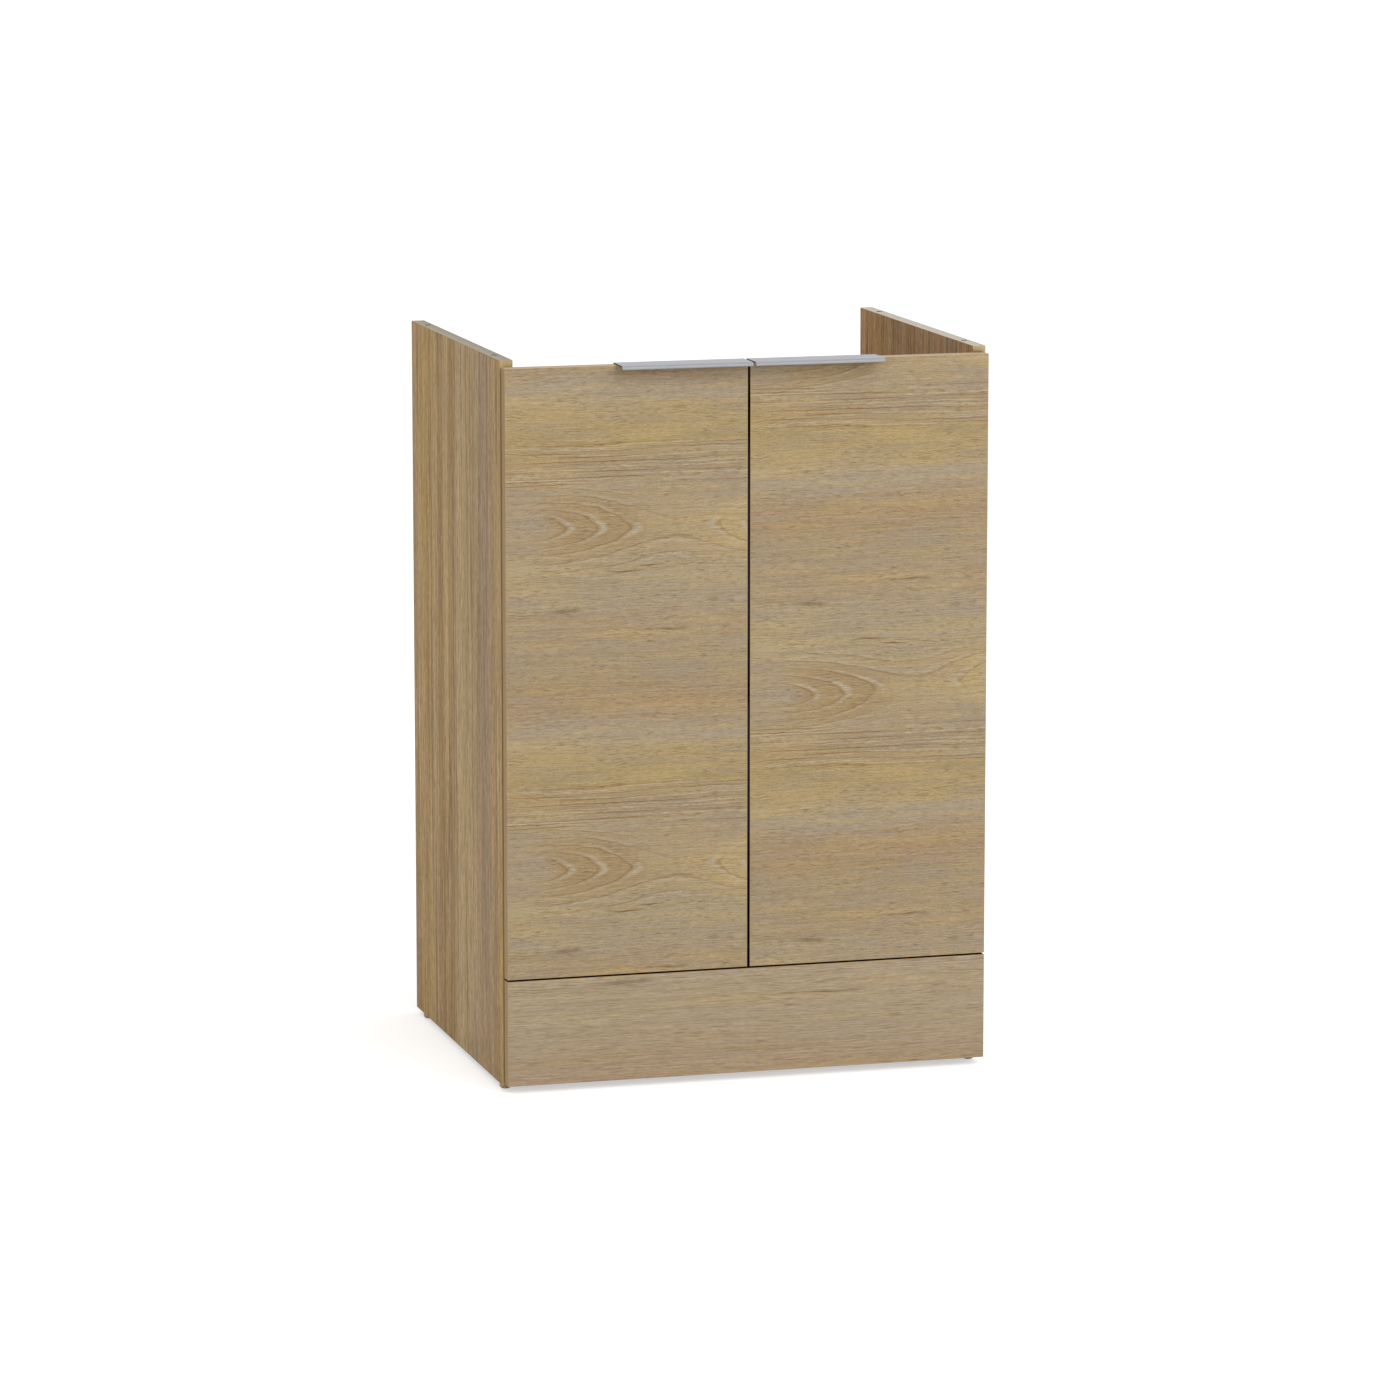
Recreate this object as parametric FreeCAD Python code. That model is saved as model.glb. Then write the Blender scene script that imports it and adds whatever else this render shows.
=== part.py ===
"""Floor-standing washbasin cabinet with two doors, as it leaves a flat-pack maker.

Melamine-faced boards are held by cams, bolts and dowels. The top is open for the basin and
the back is open for the pipes. Each door hangs on two concealed cup hinges and carries a
folded aluminium edge pull. All sizes are in millimetres. X runs to the right, Y to the back
and Z up. The origin is on the floor, in the middle of the cabinet's outer box.
"""

import FreeCAD
import Part
import math
import os

Vec = FreeCAD.Vector

# Carcass
overall_width = 600.0
side_height = 873.0
side_depth = 457.5
board_thickness = 16.0

# Doors
door_thickness = 16.0
door_top_drop = 8.0
door_reveal = 1.5
door_middle_gap = 3.0
door_standoff = 1.5
door_swing = 95.0

# Plinth board below the doors, held by two corner brackets
plinth_height = 128.0
plinth_gap = 2.0
plinth_floor_gap = 3.0
bracket_wall = 3.0
bracket_leg = 26.0
bracket_height = 44.0
bracket_drop = 50.0
bracket_screw_share = 0.6

# Boards between the sides
bottom_lap = 11.0
front_rail_height = 60.0
front_rail_drop = 37.0
upper_back_rail_height = 100.0
upper_back_rail_drop = 83.0
lower_back_rail_height = 60.0
wall_hole_radius = 2.5
wall_hole_spacing = 400.0

# Shelf with a cut-out for the pipes, on four pins
shelf_rise = 300.0
shelf_setback = 34.0
shelf_depth = 360.0
shelf_side_clearance = 1.0
shelf_notch_width = 220.0
shelf_notch_depth = 90.0
shelf_notch_radius = 20.0
shelf_pin_inset = 45.0
shelf_pin_radius = 2.5
shelf_pin_hole_depth = 10.0
shelf_pin_reach = 9.0
shelf_pin_tab_width = 8.0
shelf_pin_tab_thickness = 2.5
shelf_hole_pitch = 32.0

# Dowel holes in the sides' top edges, for the basin
top_hole_radius = 4.0
top_hole_depth = 25.0
top_hole_front_inset = 58.0
top_hole_back_inset = 55.0

# Feet
foot_height = 7.0
foot_radius = 7.0
foot_rounding = 2.0
foot_front_inset = 22.5
foot_back_inset = 35.0
foot_nail_radius = 1.6
foot_nail_length = 14.0

# Cam joints: a disc in the board's face pulls on a bolt in the side, beside a wooden dowel
cam_radius = 7.3
cam_bore_radius = 7.5
cam_depth = 12.4
cam_backset = 24.0
cam_slot_length = 9.0
cam_slot_width = 1.6
cam_slot_depth = 1.8
cam_bolt_shank_radius = 2.8
cam_bolt_bore_radius = 3.5
cam_bolt_neck_radius = 1.7
cam_bolt_neck_length = 4.0
cam_bolt_head_radius = 3.0
cam_bolt_head_length = 3.4
cam_bolt_thread_radius = 2.4
side_hole_radius = 2.5
side_hole_depth = 11.0
joint_end_clearance = 0.5
dowel_radius = 4.0
dowel_board_depth = 20.0
fit_clearance = 0.05
bottom_cam_inset = 60.0
bottom_dowel_inset = 92.0
rail_joint_offset = 14.0
tall_rail_joint_offset = 25.0

# Edge pull: a folded aluminium section over each door's top edge
handle_length = 160.0
handle_inset = 0.2
handle_wall = 1.5
handle_reach = 24.5
handle_bend_radius = 3.2
handle_lip_height = 5.0
handle_bead_radius = 1.1
handle_leg_height = 28.0
handle_screw_inset = 32.0
handle_screw_drop = 15.0

# Screws with a pan head
small_head_radius = 3.0
small_head_height = 1.7
small_shank_radius = 1.6
small_screw_length = 12.0
screw_crown_share = 0.7
screw_flank_share = 0.4
screw_tip_share = 2.0
plate_head_radius = 4.0
plate_head_height = 2.2
plate_shank_radius = 2.4
plate_screw_length = 10.0

# Door bumpers
bumper_radius = 4.0
bumper_side_inset = 30.0
bumper_rail_share = 0.5

# Concealed cup hinges. The door turns about an axis just inside its outer edge.
hinge_from_top = 135.0
hinge_from_bottom = 100.0
pivot_inset = 4.0
pivot_from_back = 8.0
cup_edge_distance = 3.0
cup_bore_radius = 17.5
cup_radius = 17.4
cup_wall = 0.5
cup_depth = 12.0
cup_bore_clearance = 0.2
cup_corner_radius = 2.0
cup_flange_thickness = 1.0
cup_flange_radius = 19.0
cup_wing_radius = 6.5
cup_screw_spacing = 45.0
cup_screw_offset = 9.5
cup_notch_half_width = 8.3
cup_ear_inner = 5.4
cup_ear_thickness = 1.0
cup_ear_reach = 8.4
cup_ear_sweep_gap = 0.3
cup_slot_clearance = 0.6

# Hinge pins, measured from the door's axis: first toward the door's free edge, then back
pin_radius = 1.0
pin_clearance = 0.04
outer_cup_pin = (5.6, 5.0)
inner_cup_pin = (1.7, 7.3)
outer_arm_pin = (27.2, 1.4)
inner_arm_pin = (25.3, 15.7)
inner_link_knee = (12.6, 7.5)

# Hinge links. Each turns back by its share of the door's own turn.
outer_link_turn_share = 0.30
inner_link_turn_share = 0.27
link_eye_radius = 1.9
link_slot_wall = 0.9
link_slot_clearance = 0.12
outer_link_half_height = 1.4
outer_link_inner_z = 3.9
outer_link_cheek = 1.2
outer_link_web = 1.2
outer_link_web_start_share = 0.35
outer_link_web_end_share = 0.62
inner_link_half_height = 0.95
inner_link_half_width = 3.4
swing_steps = 38

# Hinge arm and its mounting plate on the side panel
arm_cheek_inner = 6.4
arm_wall = 1.2
arm_height = 11.5
arm_underside = 3.0
arm_front = 15.0
arm_rear = 68.0
arm_bend_radius = 1.8
arm_rear_radius = 4.0
arm_nose_radius = 2.6
arm_neck_radius = 3.0
arm_neck_behind = 18.5
arm_neck_depth = 2.8
plate_line = 37.0
plate_wing_spacing = 32.0
plate_wing_radius = 8.0
plate_wing_thickness = 1.6
plate_boss_half_width = 5.4
plate_boss_front = 20.0
plate_boss_rear = 66.0
arm_fixing_screw_line = 58.0
arm_adjusting_screw_line = 26.0
arm_screw_hole_clearance = 0.2

# One overrun carries every cutter past the face that it opens
overrun = 1.0

# Planes that follow from the sizes above
overall_depth = handle_reach + door_thickness + door_standoff + side_depth
door_face_y = handle_reach - overall_depth / 2
door_back_y = door_face_y + door_thickness
carcass_front_y = door_back_y + door_standoff
carcass_back_y = carcass_front_y + side_depth
side_outer_x = overall_width / 2
side_inner_x = side_outer_x - board_thickness
side_middle_x = side_outer_x - board_thickness / 2
side_bottom_z = foot_height
side_top_z = side_bottom_z + side_height
door_outer_x = side_outer_x - door_reveal
door_inner_x = door_middle_gap / 2
plinth_bottom_z = side_bottom_z + plinth_floor_gap
plinth_top_z = plinth_bottom_z + plinth_height
door_bottom_z = plinth_top_z + plinth_gap
door_top_z = side_top_z - door_top_drop
bottom_top_z = door_bottom_z + bottom_lap
bottom_under_z = bottom_top_z - board_thickness
front_rail_top_z = door_top_z - front_rail_drop
front_rail_under_z = front_rail_top_z - front_rail_height
front_rail_back_y = carcass_front_y + board_thickness
back_rail_front_y = carcass_back_y - board_thickness
upper_rail_top_z = side_top_z - upper_back_rail_drop
upper_rail_under_z = upper_rail_top_z - upper_back_rail_height
lower_rail_top_z = bottom_top_z + lower_back_rail_height
shelf_under_z = bottom_top_z + shelf_rise
shelf_front_y = carcass_front_y + shelf_setback
shelf_back_y = shelf_front_y + shelf_depth
axis_x = door_outer_x - pivot_inset
axis_y = door_back_y - pivot_from_back
upper_hinge_z = door_top_z - hinge_from_top
lower_hinge_z = door_bottom_z + hinge_from_bottom

LEFT, RIGHT = -1, 1
HANDS = {"left": LEFT, "right": RIGHT}
HINGE_HEIGHTS = {"upper": upper_hinge_z, "lower": lower_hinge_z}


def block(x0, x1, y0, y1, z0, z1):
    """A box between two corners, given in either order."""
    low = Vec(min(x0, x1), min(y0, y1), min(z0, z1))
    return Part.makeBox(abs(x1 - x0), abs(y1 - y0), abs(z1 - z0), low)


def drill(mouth, direction, radius, depth):
    """A cutter for a hole that opens at mouth and runs along direction."""
    start = mouth - direction * overrun
    return Part.makeCylinder(radius, depth + overrun, start, direction)


def prism(edges, direction):
    """The solid swept by a closed flat outline along a straight line."""
    return Part.Face(Part.Wire(edges)).extrude(direction)


def capsule(p, q, radius, z0, z1):
    """A flat bar with round ends at p and q, between two heights."""
    run = math.hypot(q[0] - p[0], q[1] - p[1])
    ux, uy = (q[0] - p[0]) / run, (q[1] - p[1]) / run
    nx, ny = -uy * radius, ux * radius
    p_left, p_right = Vec(p[0] + nx, p[1] + ny, z0), Vec(p[0] - nx, p[1] - ny, z0)
    q_left, q_right = Vec(q[0] + nx, q[1] + ny, z0), Vec(q[0] - nx, q[1] - ny, z0)
    p_tip = Vec(p[0] - ux * radius, p[1] - uy * radius, z0)
    q_tip = Vec(q[0] + ux * radius, q[1] + uy * radius, z0)
    edges = [
        Part.LineSegment(p_right, q_right).toShape(),
        Part.Arc(q_right, q_tip, q_left).toShape(),
        Part.LineSegment(q_left, p_left).toShape(),
        Part.Arc(p_left, p_tip, p_right).toShape(),
    ]
    return prism(edges, Vec(0, 0, z1 - z0))


def post(p, radius, z0, z1):
    """A round post standing at p between two heights."""
    return Part.makeCylinder(radius, z1 - z0, Vec(p[0], p[1], z0))


def turned(points):
    """A solid turned about Z from (radius, height) corners that start and end on the axis."""
    corners = [Vec(radius, 0, height) for radius, height in points]
    outline = Part.makePolygon(corners + [corners[0]])
    return Part.Face(outline).revolve(Vec(0, 0, 0), Vec(0, 0, 1), 360)


def aimed(shape, place, direction):
    """The shape carried to place, with its Z axis turned to direction."""
    turn = FreeCAD.Rotation(Vec(0, 0, 1), direction)
    moved = shape.copy()
    moved.Placement = FreeCAD.Placement(place, turn)
    return moved


def screw(head_radius, head_height, shank_radius, length):
    """A pan-head screw. Its head's underside is at zero and its shank points along Z."""
    tip = shank_radius * screw_tip_share
    return turned(
        [
            (0, -head_height),
            (head_radius * screw_crown_share, -head_height),
            (head_radius, -head_height * screw_flank_share),
            (head_radius, 0),
            (shank_radius, 0),
            (shank_radius, length - tip),
            (0, length),
        ]
    )


def handed(shape, hand):
    """A shape modelled for the left of the cabinet, mirrored where the right needs it."""
    if hand == LEFT:
        return shape
    return shape.mirror(Vec(0, 0, 0), Vec(1, 0, 0))


def fused(shapes):
    """Several touching or crossing solids as one."""
    return shapes[0].multiFuse(shapes[1:]).removeSplitter()


def save(node, shapes):
    """One STEP file for a node of one or more separate solids."""
    solids = [solid for shape in shapes for solid in shape.Solids]
    for solid in solids:
        if not solid.isValid():
            print("not valid:", node)
    shape = solids[0] if len(solids) == 1 else Part.makeCompound(solids)
    shape.exportStep("parts/" + node + ".step")
    print(node, len(solids), "solids", round(sum(s.Volume for s in solids)), "mm3")


# Cam joints. Each entry is the height and depth where a cam bolt or a dowel crosses from a
# board's end into the side, and for a cam the direction in which its disc is let in.


def bottom_joints():
    """The bottom panel has two cams and two dowels at each end, with the cams from below."""
    z = bottom_under_z + board_thickness / 2
    cams = [
        (carcass_front_y + bottom_cam_inset, z),
        (carcass_back_y - bottom_cam_inset, z),
    ]
    dowels = [
        (carcass_front_y + bottom_dowel_inset, z),
        (carcass_back_y - bottom_dowel_inset, z),
    ]
    return {"cams": cams, "dowels": dowels, "inward": Vec(0, 0, 1)}


def rail_joints(front_y, under_z, height, offset, inward):
    """A rail on edge has one cam and one dowel at each end."""
    y = front_y + board_thickness / 2
    middle = under_z + height / 2
    return {
        "cams": [(y, middle + offset)],
        "dowels": [(y, middle - offset)],
        "inward": inward,
    }


def joints_by_board():
    """All knock-down joints of the carcass, by the board whose ends they hold."""
    forward, backward = Vec(0, -1, 0), Vec(0, 1, 0)
    return {
        "bottom_panel": bottom_joints(),
        "front_rail": rail_joints(
            carcass_front_y, front_rail_under_z, front_rail_height, rail_joint_offset, forward
        ),
        "upper_back_rail": rail_joints(
            back_rail_front_y,
            upper_rail_under_z,
            upper_back_rail_height,
            tall_rail_joint_offset,
            backward,
        ),
        "lower_back_rail": rail_joints(
            back_rail_front_y, bottom_top_z, lower_back_rail_height, rail_joint_offset, backward
        ),
    }


def cam_mouth(hand, y, z, inward):
    """The middle of a cam disc's outer face, flush with the board's face."""
    x = hand * (side_inner_x - cam_backset)
    return Vec(x, y, z) - inward * (board_thickness / 2)


def end_cutters(joints):
    """Cutters for both ends of a board: cam bores, bolt bores and dowel holes."""
    cutters = []
    for hand in HANDS.values():
        along = Vec(-hand, 0, 0)
        for y, z in joints["cams"]:
            mouth = cam_mouth(hand, y, z, joints["inward"])
            cutters.append(drill(mouth, joints["inward"], cam_bore_radius, cam_depth))
            end = Vec(hand * side_inner_x, y, z)
            cutters.append(drill(end, along, cam_bolt_bore_radius, cam_backset))
        for y, z in joints["dowels"]:
            end = Vec(hand * side_inner_x, y, z)
            radius = dowel_radius + fit_clearance
            cutters.append(drill(end, along, radius, dowel_board_depth))
    return cutters


def cam_disc(hand, y, z, inward):
    """A cam with its pocket for the bolt's head and a screwdriver cross in its face."""
    mouth = cam_mouth(hand, y, z, inward)
    disc = Part.makeCylinder(cam_radius, cam_depth - joint_end_clearance, mouth, inward)
    pocket_depth = cam_radius + cam_bolt_head_length
    rim = Vec(hand * (side_inner_x - cam_backset + cam_radius), y, z)
    pocket = drill(rim, Vec(-hand, 0, 0), cam_bolt_bore_radius, pocket_depth)
    long_half, short_half = cam_slot_length / 2, cam_slot_width / 2
    bar = block(-long_half, long_half, -short_half, short_half, -overrun, cam_slot_depth)
    cross = block(-short_half, short_half, -long_half, long_half, -overrun, cam_slot_depth)
    return disc.cut([pocket, aimed(bar, mouth, inward), aimed(cross, mouth, inward)])


def cam_bolt(hand, y, z):
    """The bolt from the side's hole to the middle of the cam."""
    head_end = cam_backset + cam_bolt_head_length / 2
    neck_end = head_end - cam_bolt_head_length
    neck_start = neck_end - cam_bolt_neck_length
    thread_start = joint_end_clearance - side_hole_depth
    bolt = turned(
        [
            (0, thread_start),
            (cam_bolt_thread_radius, thread_start),
            (cam_bolt_thread_radius, 0),
            (cam_bolt_shank_radius, 0),
            (cam_bolt_shank_radius, neck_start),
            (cam_bolt_neck_radius, neck_start),
            (cam_bolt_neck_radius, neck_end),
            (cam_bolt_head_radius, neck_end),
            (cam_bolt_head_radius, head_end),
            (0, head_end),
        ]
    )
    return aimed(bolt, Vec(hand * side_inner_x, y, z), Vec(-hand, 0, 0))


def dowel(hand, y, z):
    """A wooden dowel across the joint between a board's end and the side."""
    start = Vec(hand * (side_inner_x + side_hole_depth - joint_end_clearance), y, z)
    length = side_hole_depth + dowel_board_depth - 2 * joint_end_clearance
    return Part.makeCylinder(dowel_radius, length, start, Vec(-hand, 0, 0))


# Carcass boards


def shelf_pin_places():
    """The two depths at which the shelf rests on pins."""
    return [shelf_front_y + shelf_pin_inset, shelf_back_y - shelf_pin_inset]


def side_panel():
    """The left side, with every hole that its inner face and edges carry."""
    panel = block(
        -side_outer_x, -side_inner_x, carcass_front_y, carcass_back_y, side_bottom_z, side_top_z
    )
    outward = Vec(-1, 0, 0)
    cutters = []
    for joints in joints_by_board().values():
        for y, z in joints["cams"]:
            mouth = Vec(-side_inner_x, y, z)
            cutters.append(drill(mouth, outward, side_hole_radius, side_hole_depth))
        for y, z in joints["dowels"]:
            mouth = Vec(-side_inner_x, y, z)
            radius = dowel_radius + fit_clearance
            cutters.append(drill(mouth, outward, radius, side_hole_depth))
    for y in shelf_pin_places():
        for step in (-1, 0, 1):
            z = shelf_pin_z() + step * shelf_hole_pitch
            mouth = Vec(-side_inner_x, y, z)
            cutters.append(drill(mouth, outward, shelf_pin_radius, shelf_pin_hole_depth))
    for mouth in plate_screw_places():
        cutters.append(drill(mouth, outward, plate_pilot_radius(), plate_screw_length))
    for y in (carcass_front_y + top_hole_front_inset, carcass_back_y - top_hole_back_inset):
        mouth = Vec(-side_middle_x, y, side_top_z)
        cutters.append(drill(mouth, Vec(0, 0, -1), top_hole_radius, top_hole_depth))
    for y in foot_places():
        mouth = Vec(-side_middle_x, y, side_bottom_z)
        radius = foot_nail_radius + fit_clearance
        cutters.append(drill(mouth, Vec(0, 0, 1), radius, foot_nail_length))
    for place in bracket_side_screws():
        cutters.append(drill(place, outward, small_pilot_radius(), small_screw_length))
    return panel.cut(cutters)


def bottom_panel():
    """The cabinet's floor, between the sides."""
    panel = block(
        -side_inner_x, side_inner_x, carcass_front_y, carcass_back_y, bottom_under_z, bottom_top_z
    )
    return panel.cut(end_cutters(joints_by_board()["bottom_panel"]))


def rail(name, front_y, under_z, height):
    """A board on edge between the sides."""
    board = block(
        -side_inner_x, side_inner_x, front_y, front_y + board_thickness, under_z, under_z + height
    )
    return board.cut(end_cutters(joints_by_board()[name]))


def upper_back_rail():
    """The rail that is screwed to the wall, with its two holes."""
    board = rail("upper_back_rail", back_rail_front_y, upper_rail_under_z, upper_back_rail_height)
    z = upper_rail_under_z + upper_back_rail_height / 2
    holes = []
    for hand in HANDS.values():
        mouth = Vec(hand * wall_hole_spacing / 2, back_rail_front_y, z)
        depth = board_thickness + overrun
        holes.append(drill(mouth, Vec(0, 1, 0), wall_hole_radius, depth))
    return board.cut(holes)


def shelf():
    """The loose shelf, with a round-cornered cut-out at the back for the pipes."""
    half = side_inner_x - shelf_side_clearance
    top_z = shelf_under_z + board_thickness
    board = block(-half, half, shelf_front_y, shelf_back_y, shelf_under_z, top_z)
    front = shelf_back_y - shelf_notch_depth
    middle = shelf_notch_width / 2
    r = shelf_notch_radius
    bend = r * math.sin(math.pi / 4)
    z = shelf_under_z - overrun
    back = shelf_back_y + overrun
    left_mid = Vec(r - middle - bend, front + r - bend, z)
    right_mid = Vec(middle - r + bend, front + r - bend, z)
    edges = [
        Part.LineSegment(Vec(-middle, back, z), Vec(-middle, front + r, z)).toShape(),
        Part.Arc(Vec(-middle, front + r, z), left_mid, Vec(r - middle, front, z)).toShape(),
        Part.LineSegment(Vec(r - middle, front, z), Vec(middle - r, front, z)).toShape(),
        Part.Arc(Vec(middle - r, front, z), right_mid, Vec(middle, front + r, z)).toShape(),
        Part.LineSegment(Vec(middle, front + r, z), Vec(middle, back, z)).toShape(),
        Part.LineSegment(Vec(middle, back, z), Vec(-middle, back, z)).toShape(),
    ]
    return board.cut(prism(edges, Vec(0, 0, board_thickness + 2 * overrun)))


def shelf_pin_z():
    """The height of the shelf pins' axes, below the tab that the shelf lies on."""
    return shelf_under_z - shelf_pin_tab_thickness / 2


def shelf_pin(hand, y):
    """A pin in the side's hole, with a flat tab under the shelf."""
    z = shelf_pin_z()
    face = hand * side_inner_x
    start = Vec(face + hand * (shelf_pin_hole_depth - joint_end_clearance), y, z)
    radius = shelf_pin_radius - fit_clearance
    stud = Part.makeCylinder(
        radius, shelf_pin_hole_depth - joint_end_clearance, start, Vec(-hand, 0, 0)
    )
    half = shelf_pin_tab_width / 2
    tab = block(
        face,
        face - hand * shelf_pin_reach,
        y - half,
        y + half,
        shelf_under_z - shelf_pin_tab_thickness,
        shelf_under_z,
    )
    return fused([stud, tab])


# Plinth and feet


def plinth_panel():
    """The board below the doors, in one plane with them."""
    board = block(
        -door_outer_x, door_outer_x, door_face_y, door_back_y, plinth_bottom_z, plinth_top_z
    )
    cutters = []
    for hand in HANDS.values():
        for place in bracket_plinth_screws():
            mouth = Vec(-hand * place.x, place.y, place.z)
            cutters.append(drill(mouth, Vec(0, -1, 0), small_pilot_radius(), small_screw_length))
    return board.cut(cutters)


def bracket_base_z():
    """The underside of the plinth's corner brackets."""
    return plinth_top_z - bracket_drop - bracket_height


def bracket_side_screws():
    """The screw in the leg on the left side's inner face."""
    y = door_back_y + bracket_wall + (bracket_leg - bracket_wall) * bracket_screw_share
    return [Vec(-side_inner_x, y, bracket_base_z() + bracket_height / 2)]


def bracket_plinth_screws():
    """The screw in the leg on the plinth's back, at the left."""
    x = -side_inner_x + bracket_wall + (bracket_leg - bracket_wall) * bracket_screw_share
    return [Vec(x, door_back_y, bracket_base_z() + bracket_height / 2)]


def plinth_bracket():
    """A moulded corner bracket with two legs and two gussets, at the left."""
    z0 = bracket_base_z()
    z1 = z0 + bracket_height
    x0, y0 = -side_inner_x, door_back_y
    side_leg = block(x0, x0 + bracket_wall, carcass_front_y, y0 + bracket_leg, z0, z1)
    front_leg = block(x0, x0 + bracket_leg, y0, y0 + bracket_wall, z0, z1)
    inner_x, inner_y = x0 + bracket_wall, y0 + bracket_wall
    gussets = []
    for z in (z0, z1 - bracket_wall):
        corner = Vec(inner_x, inner_y, z)
        along_x = Vec(x0 + bracket_leg, inner_y, z)
        along_y = Vec(inner_x, y0 + bracket_leg, z)
        outline = Part.makePolygon([corner, along_x, along_y, corner])
        gussets.append(Part.Face(outline).extrude(Vec(0, 0, bracket_wall)))
    body = fused([side_leg, front_leg] + gussets)
    holes = []
    for place in bracket_side_screws():
        mouth = place + Vec(bracket_wall, 0, 0)
        holes.append(drill(mouth, Vec(-1, 0, 0), small_hole_radius(), bracket_wall + overrun))
    for place in bracket_plinth_screws():
        mouth = place + Vec(0, bracket_wall, 0)
        holes.append(drill(mouth, Vec(0, -1, 0), small_hole_radius(), bracket_wall + overrun))
    return body.cut(holes)


def bracket_screws():
    """The two screws of the left corner bracket."""
    body = screw(small_head_radius, small_head_height, small_shank_radius, small_screw_length)
    screws = []
    for place in bracket_side_screws():
        screws.append(aimed(body, place + Vec(bracket_wall, 0, 0), Vec(-1, 0, 0)))
    for place in bracket_plinth_screws():
        screws.append(aimed(body, place + Vec(0, bracket_wall, 0), Vec(0, -1, 0)))
    return screws


def foot_places():
    """The depths of the front and back feet."""
    return [carcass_front_y + foot_front_inset, carcass_back_y - foot_back_inset]


def foot(hand, y):
    """A round nail-in glide under a side's bottom edge."""
    body = turned(
        [
            (0, 0),
            (foot_radius - foot_rounding, 0),
            (foot_radius, foot_rounding),
            (foot_radius, foot_height),
            (foot_nail_radius, foot_height),
            (foot_nail_radius, foot_height + foot_nail_length - joint_end_clearance),
            (0, foot_height + foot_nail_length - joint_end_clearance),
        ]
    )
    return aimed(body, Vec(hand * side_middle_x, y, 0), Vec(0, 0, 1))


# Screws and their holes


def small_pilot_radius():
    """The hole in a board that a small screw fills."""
    return small_shank_radius + fit_clearance


def small_hole_radius():
    """The loose hole in a bracket, handle or hinge cup that a small screw passes."""
    return small_shank_radius + 2 * fit_clearance


def plate_pilot_radius():
    """The hole in the side that a mounting plate's screw fills."""
    return plate_shank_radius + fit_clearance


# Doors with their edge pulls and bumpers


def door():
    """The left door, bored for its hinge cups, their screws and its pull's screws."""
    panel = block(
        -door_outer_x, -door_inner_x, door_face_y, door_back_y, door_bottom_z, door_top_z
    )
    forward = Vec(0, -1, 0)
    cutters = []
    for z in HINGE_HEIGHTS.values():
        mouth = Vec(cup_middle_x(), door_back_y, z)
        depth = cup_depth + cup_bore_clearance
        cutters.append(drill(mouth, forward, cup_bore_radius, depth))
    for place in cup_screw_places() + handle_screw_places():
        mouth = Vec(place.x, door_back_y, place.z)
        depth = small_screw_length + fit_clearance
        cutters.append(drill(mouth, forward, small_pilot_radius(), depth))
    return panel.cut(cutters)


def handle_screw_places():
    """Where the left pull's leg is screwed to the door's back."""
    inner = -door_inner_x - handle_inset
    z = door_top_z - handle_screw_drop
    y = door_back_y + handle_wall
    inner_screw = Vec(inner - handle_screw_inset, y, z)
    outer_screw = Vec(inner - handle_length + handle_screw_inset, y, z)
    return [inner_screw, outer_screw]


def handle():
    """The left pull: a leg behind the door, a plate over its edge and a beaded lip in front."""
    x = -door_inner_x - handle_inset - handle_length
    top = door_top_z + handle_wall
    back = door_back_y + handle_wall
    foot_z = top - handle_leg_height
    bead_y = door_face_y - handle_reach + handle_bead_radius
    lip_outer = bead_y + handle_bead_radius - handle_wall
    lip_inner = lip_outer + handle_wall
    lip_end = top - handle_lip_height + handle_bead_radius
    r_out, r_in = handle_bend_radius, handle_bend_radius - handle_wall
    bend_y, bend_z = lip_outer + r_out, top - r_out
    c = math.cos(math.pi / 4)

    def at(y, z):
        return Vec(x, y, z)

    edges = [
        Part.LineSegment(at(back, foot_z), at(back, top)),
        Part.LineSegment(at(back, top), at(bend_y, top)),
        Part.Arc(
            at(bend_y, top), at(bend_y - r_out * c, bend_z + r_out * c), at(lip_outer, bend_z)
        ),
        Part.LineSegment(at(lip_outer, bend_z), at(lip_outer, lip_end)),
        Part.LineSegment(at(lip_outer, lip_end), at(lip_inner, lip_end)),
        Part.LineSegment(at(lip_inner, lip_end), at(lip_inner, bend_z)),
        Part.Arc(
            at(lip_inner, bend_z), at(bend_y - r_in * c, bend_z + r_in * c), at(bend_y, door_top_z)
        ),
        Part.LineSegment(at(bend_y, door_top_z), at(door_back_y, door_top_z)),
        Part.LineSegment(at(door_back_y, door_top_z), at(door_back_y, foot_z)),
        Part.LineSegment(at(door_back_y, foot_z), at(back, foot_z)),
    ]
    section = prism([edge.toShape() for edge in edges], Vec(handle_length, 0, 0))
    bead = Part.makeCylinder(
        handle_bead_radius, handle_length, at(bead_y, lip_end), Vec(1, 0, 0)
    )
    body = fused([section, bead])
    holes = []
    for place in handle_screw_places():
        holes.append(drill(place, Vec(0, -1, 0), small_hole_radius(), handle_wall + overrun))
    return body.cut(holes)


def small_screws(places):
    """Small screws driven forward into the door at the given places."""
    body = screw(small_head_radius, small_head_height, small_shank_radius, small_screw_length)
    return [aimed(body, place, Vec(0, -1, 0)) for place in places]


def door_bumpers():
    """Two soft pads on the left door's back, against the front rail and the bottom panel."""
    x = -door_inner_x - bumper_side_inset
    low_z = (door_bottom_z + bottom_top_z) / 2
    high_z = front_rail_under_z + front_rail_height * bumper_rail_share
    places = [Vec(x, door_back_y, z) for z in (low_z, high_z)]
    back = Vec(0, 1, 0)
    return [Part.makeCylinder(bumper_radius, door_standoff, p, back) for p in places]


# Concealed hinge. Its pieces are drawn for the left door about the door's axis at height
# zero, then carried to the axis and to each hinge's height.


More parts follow.
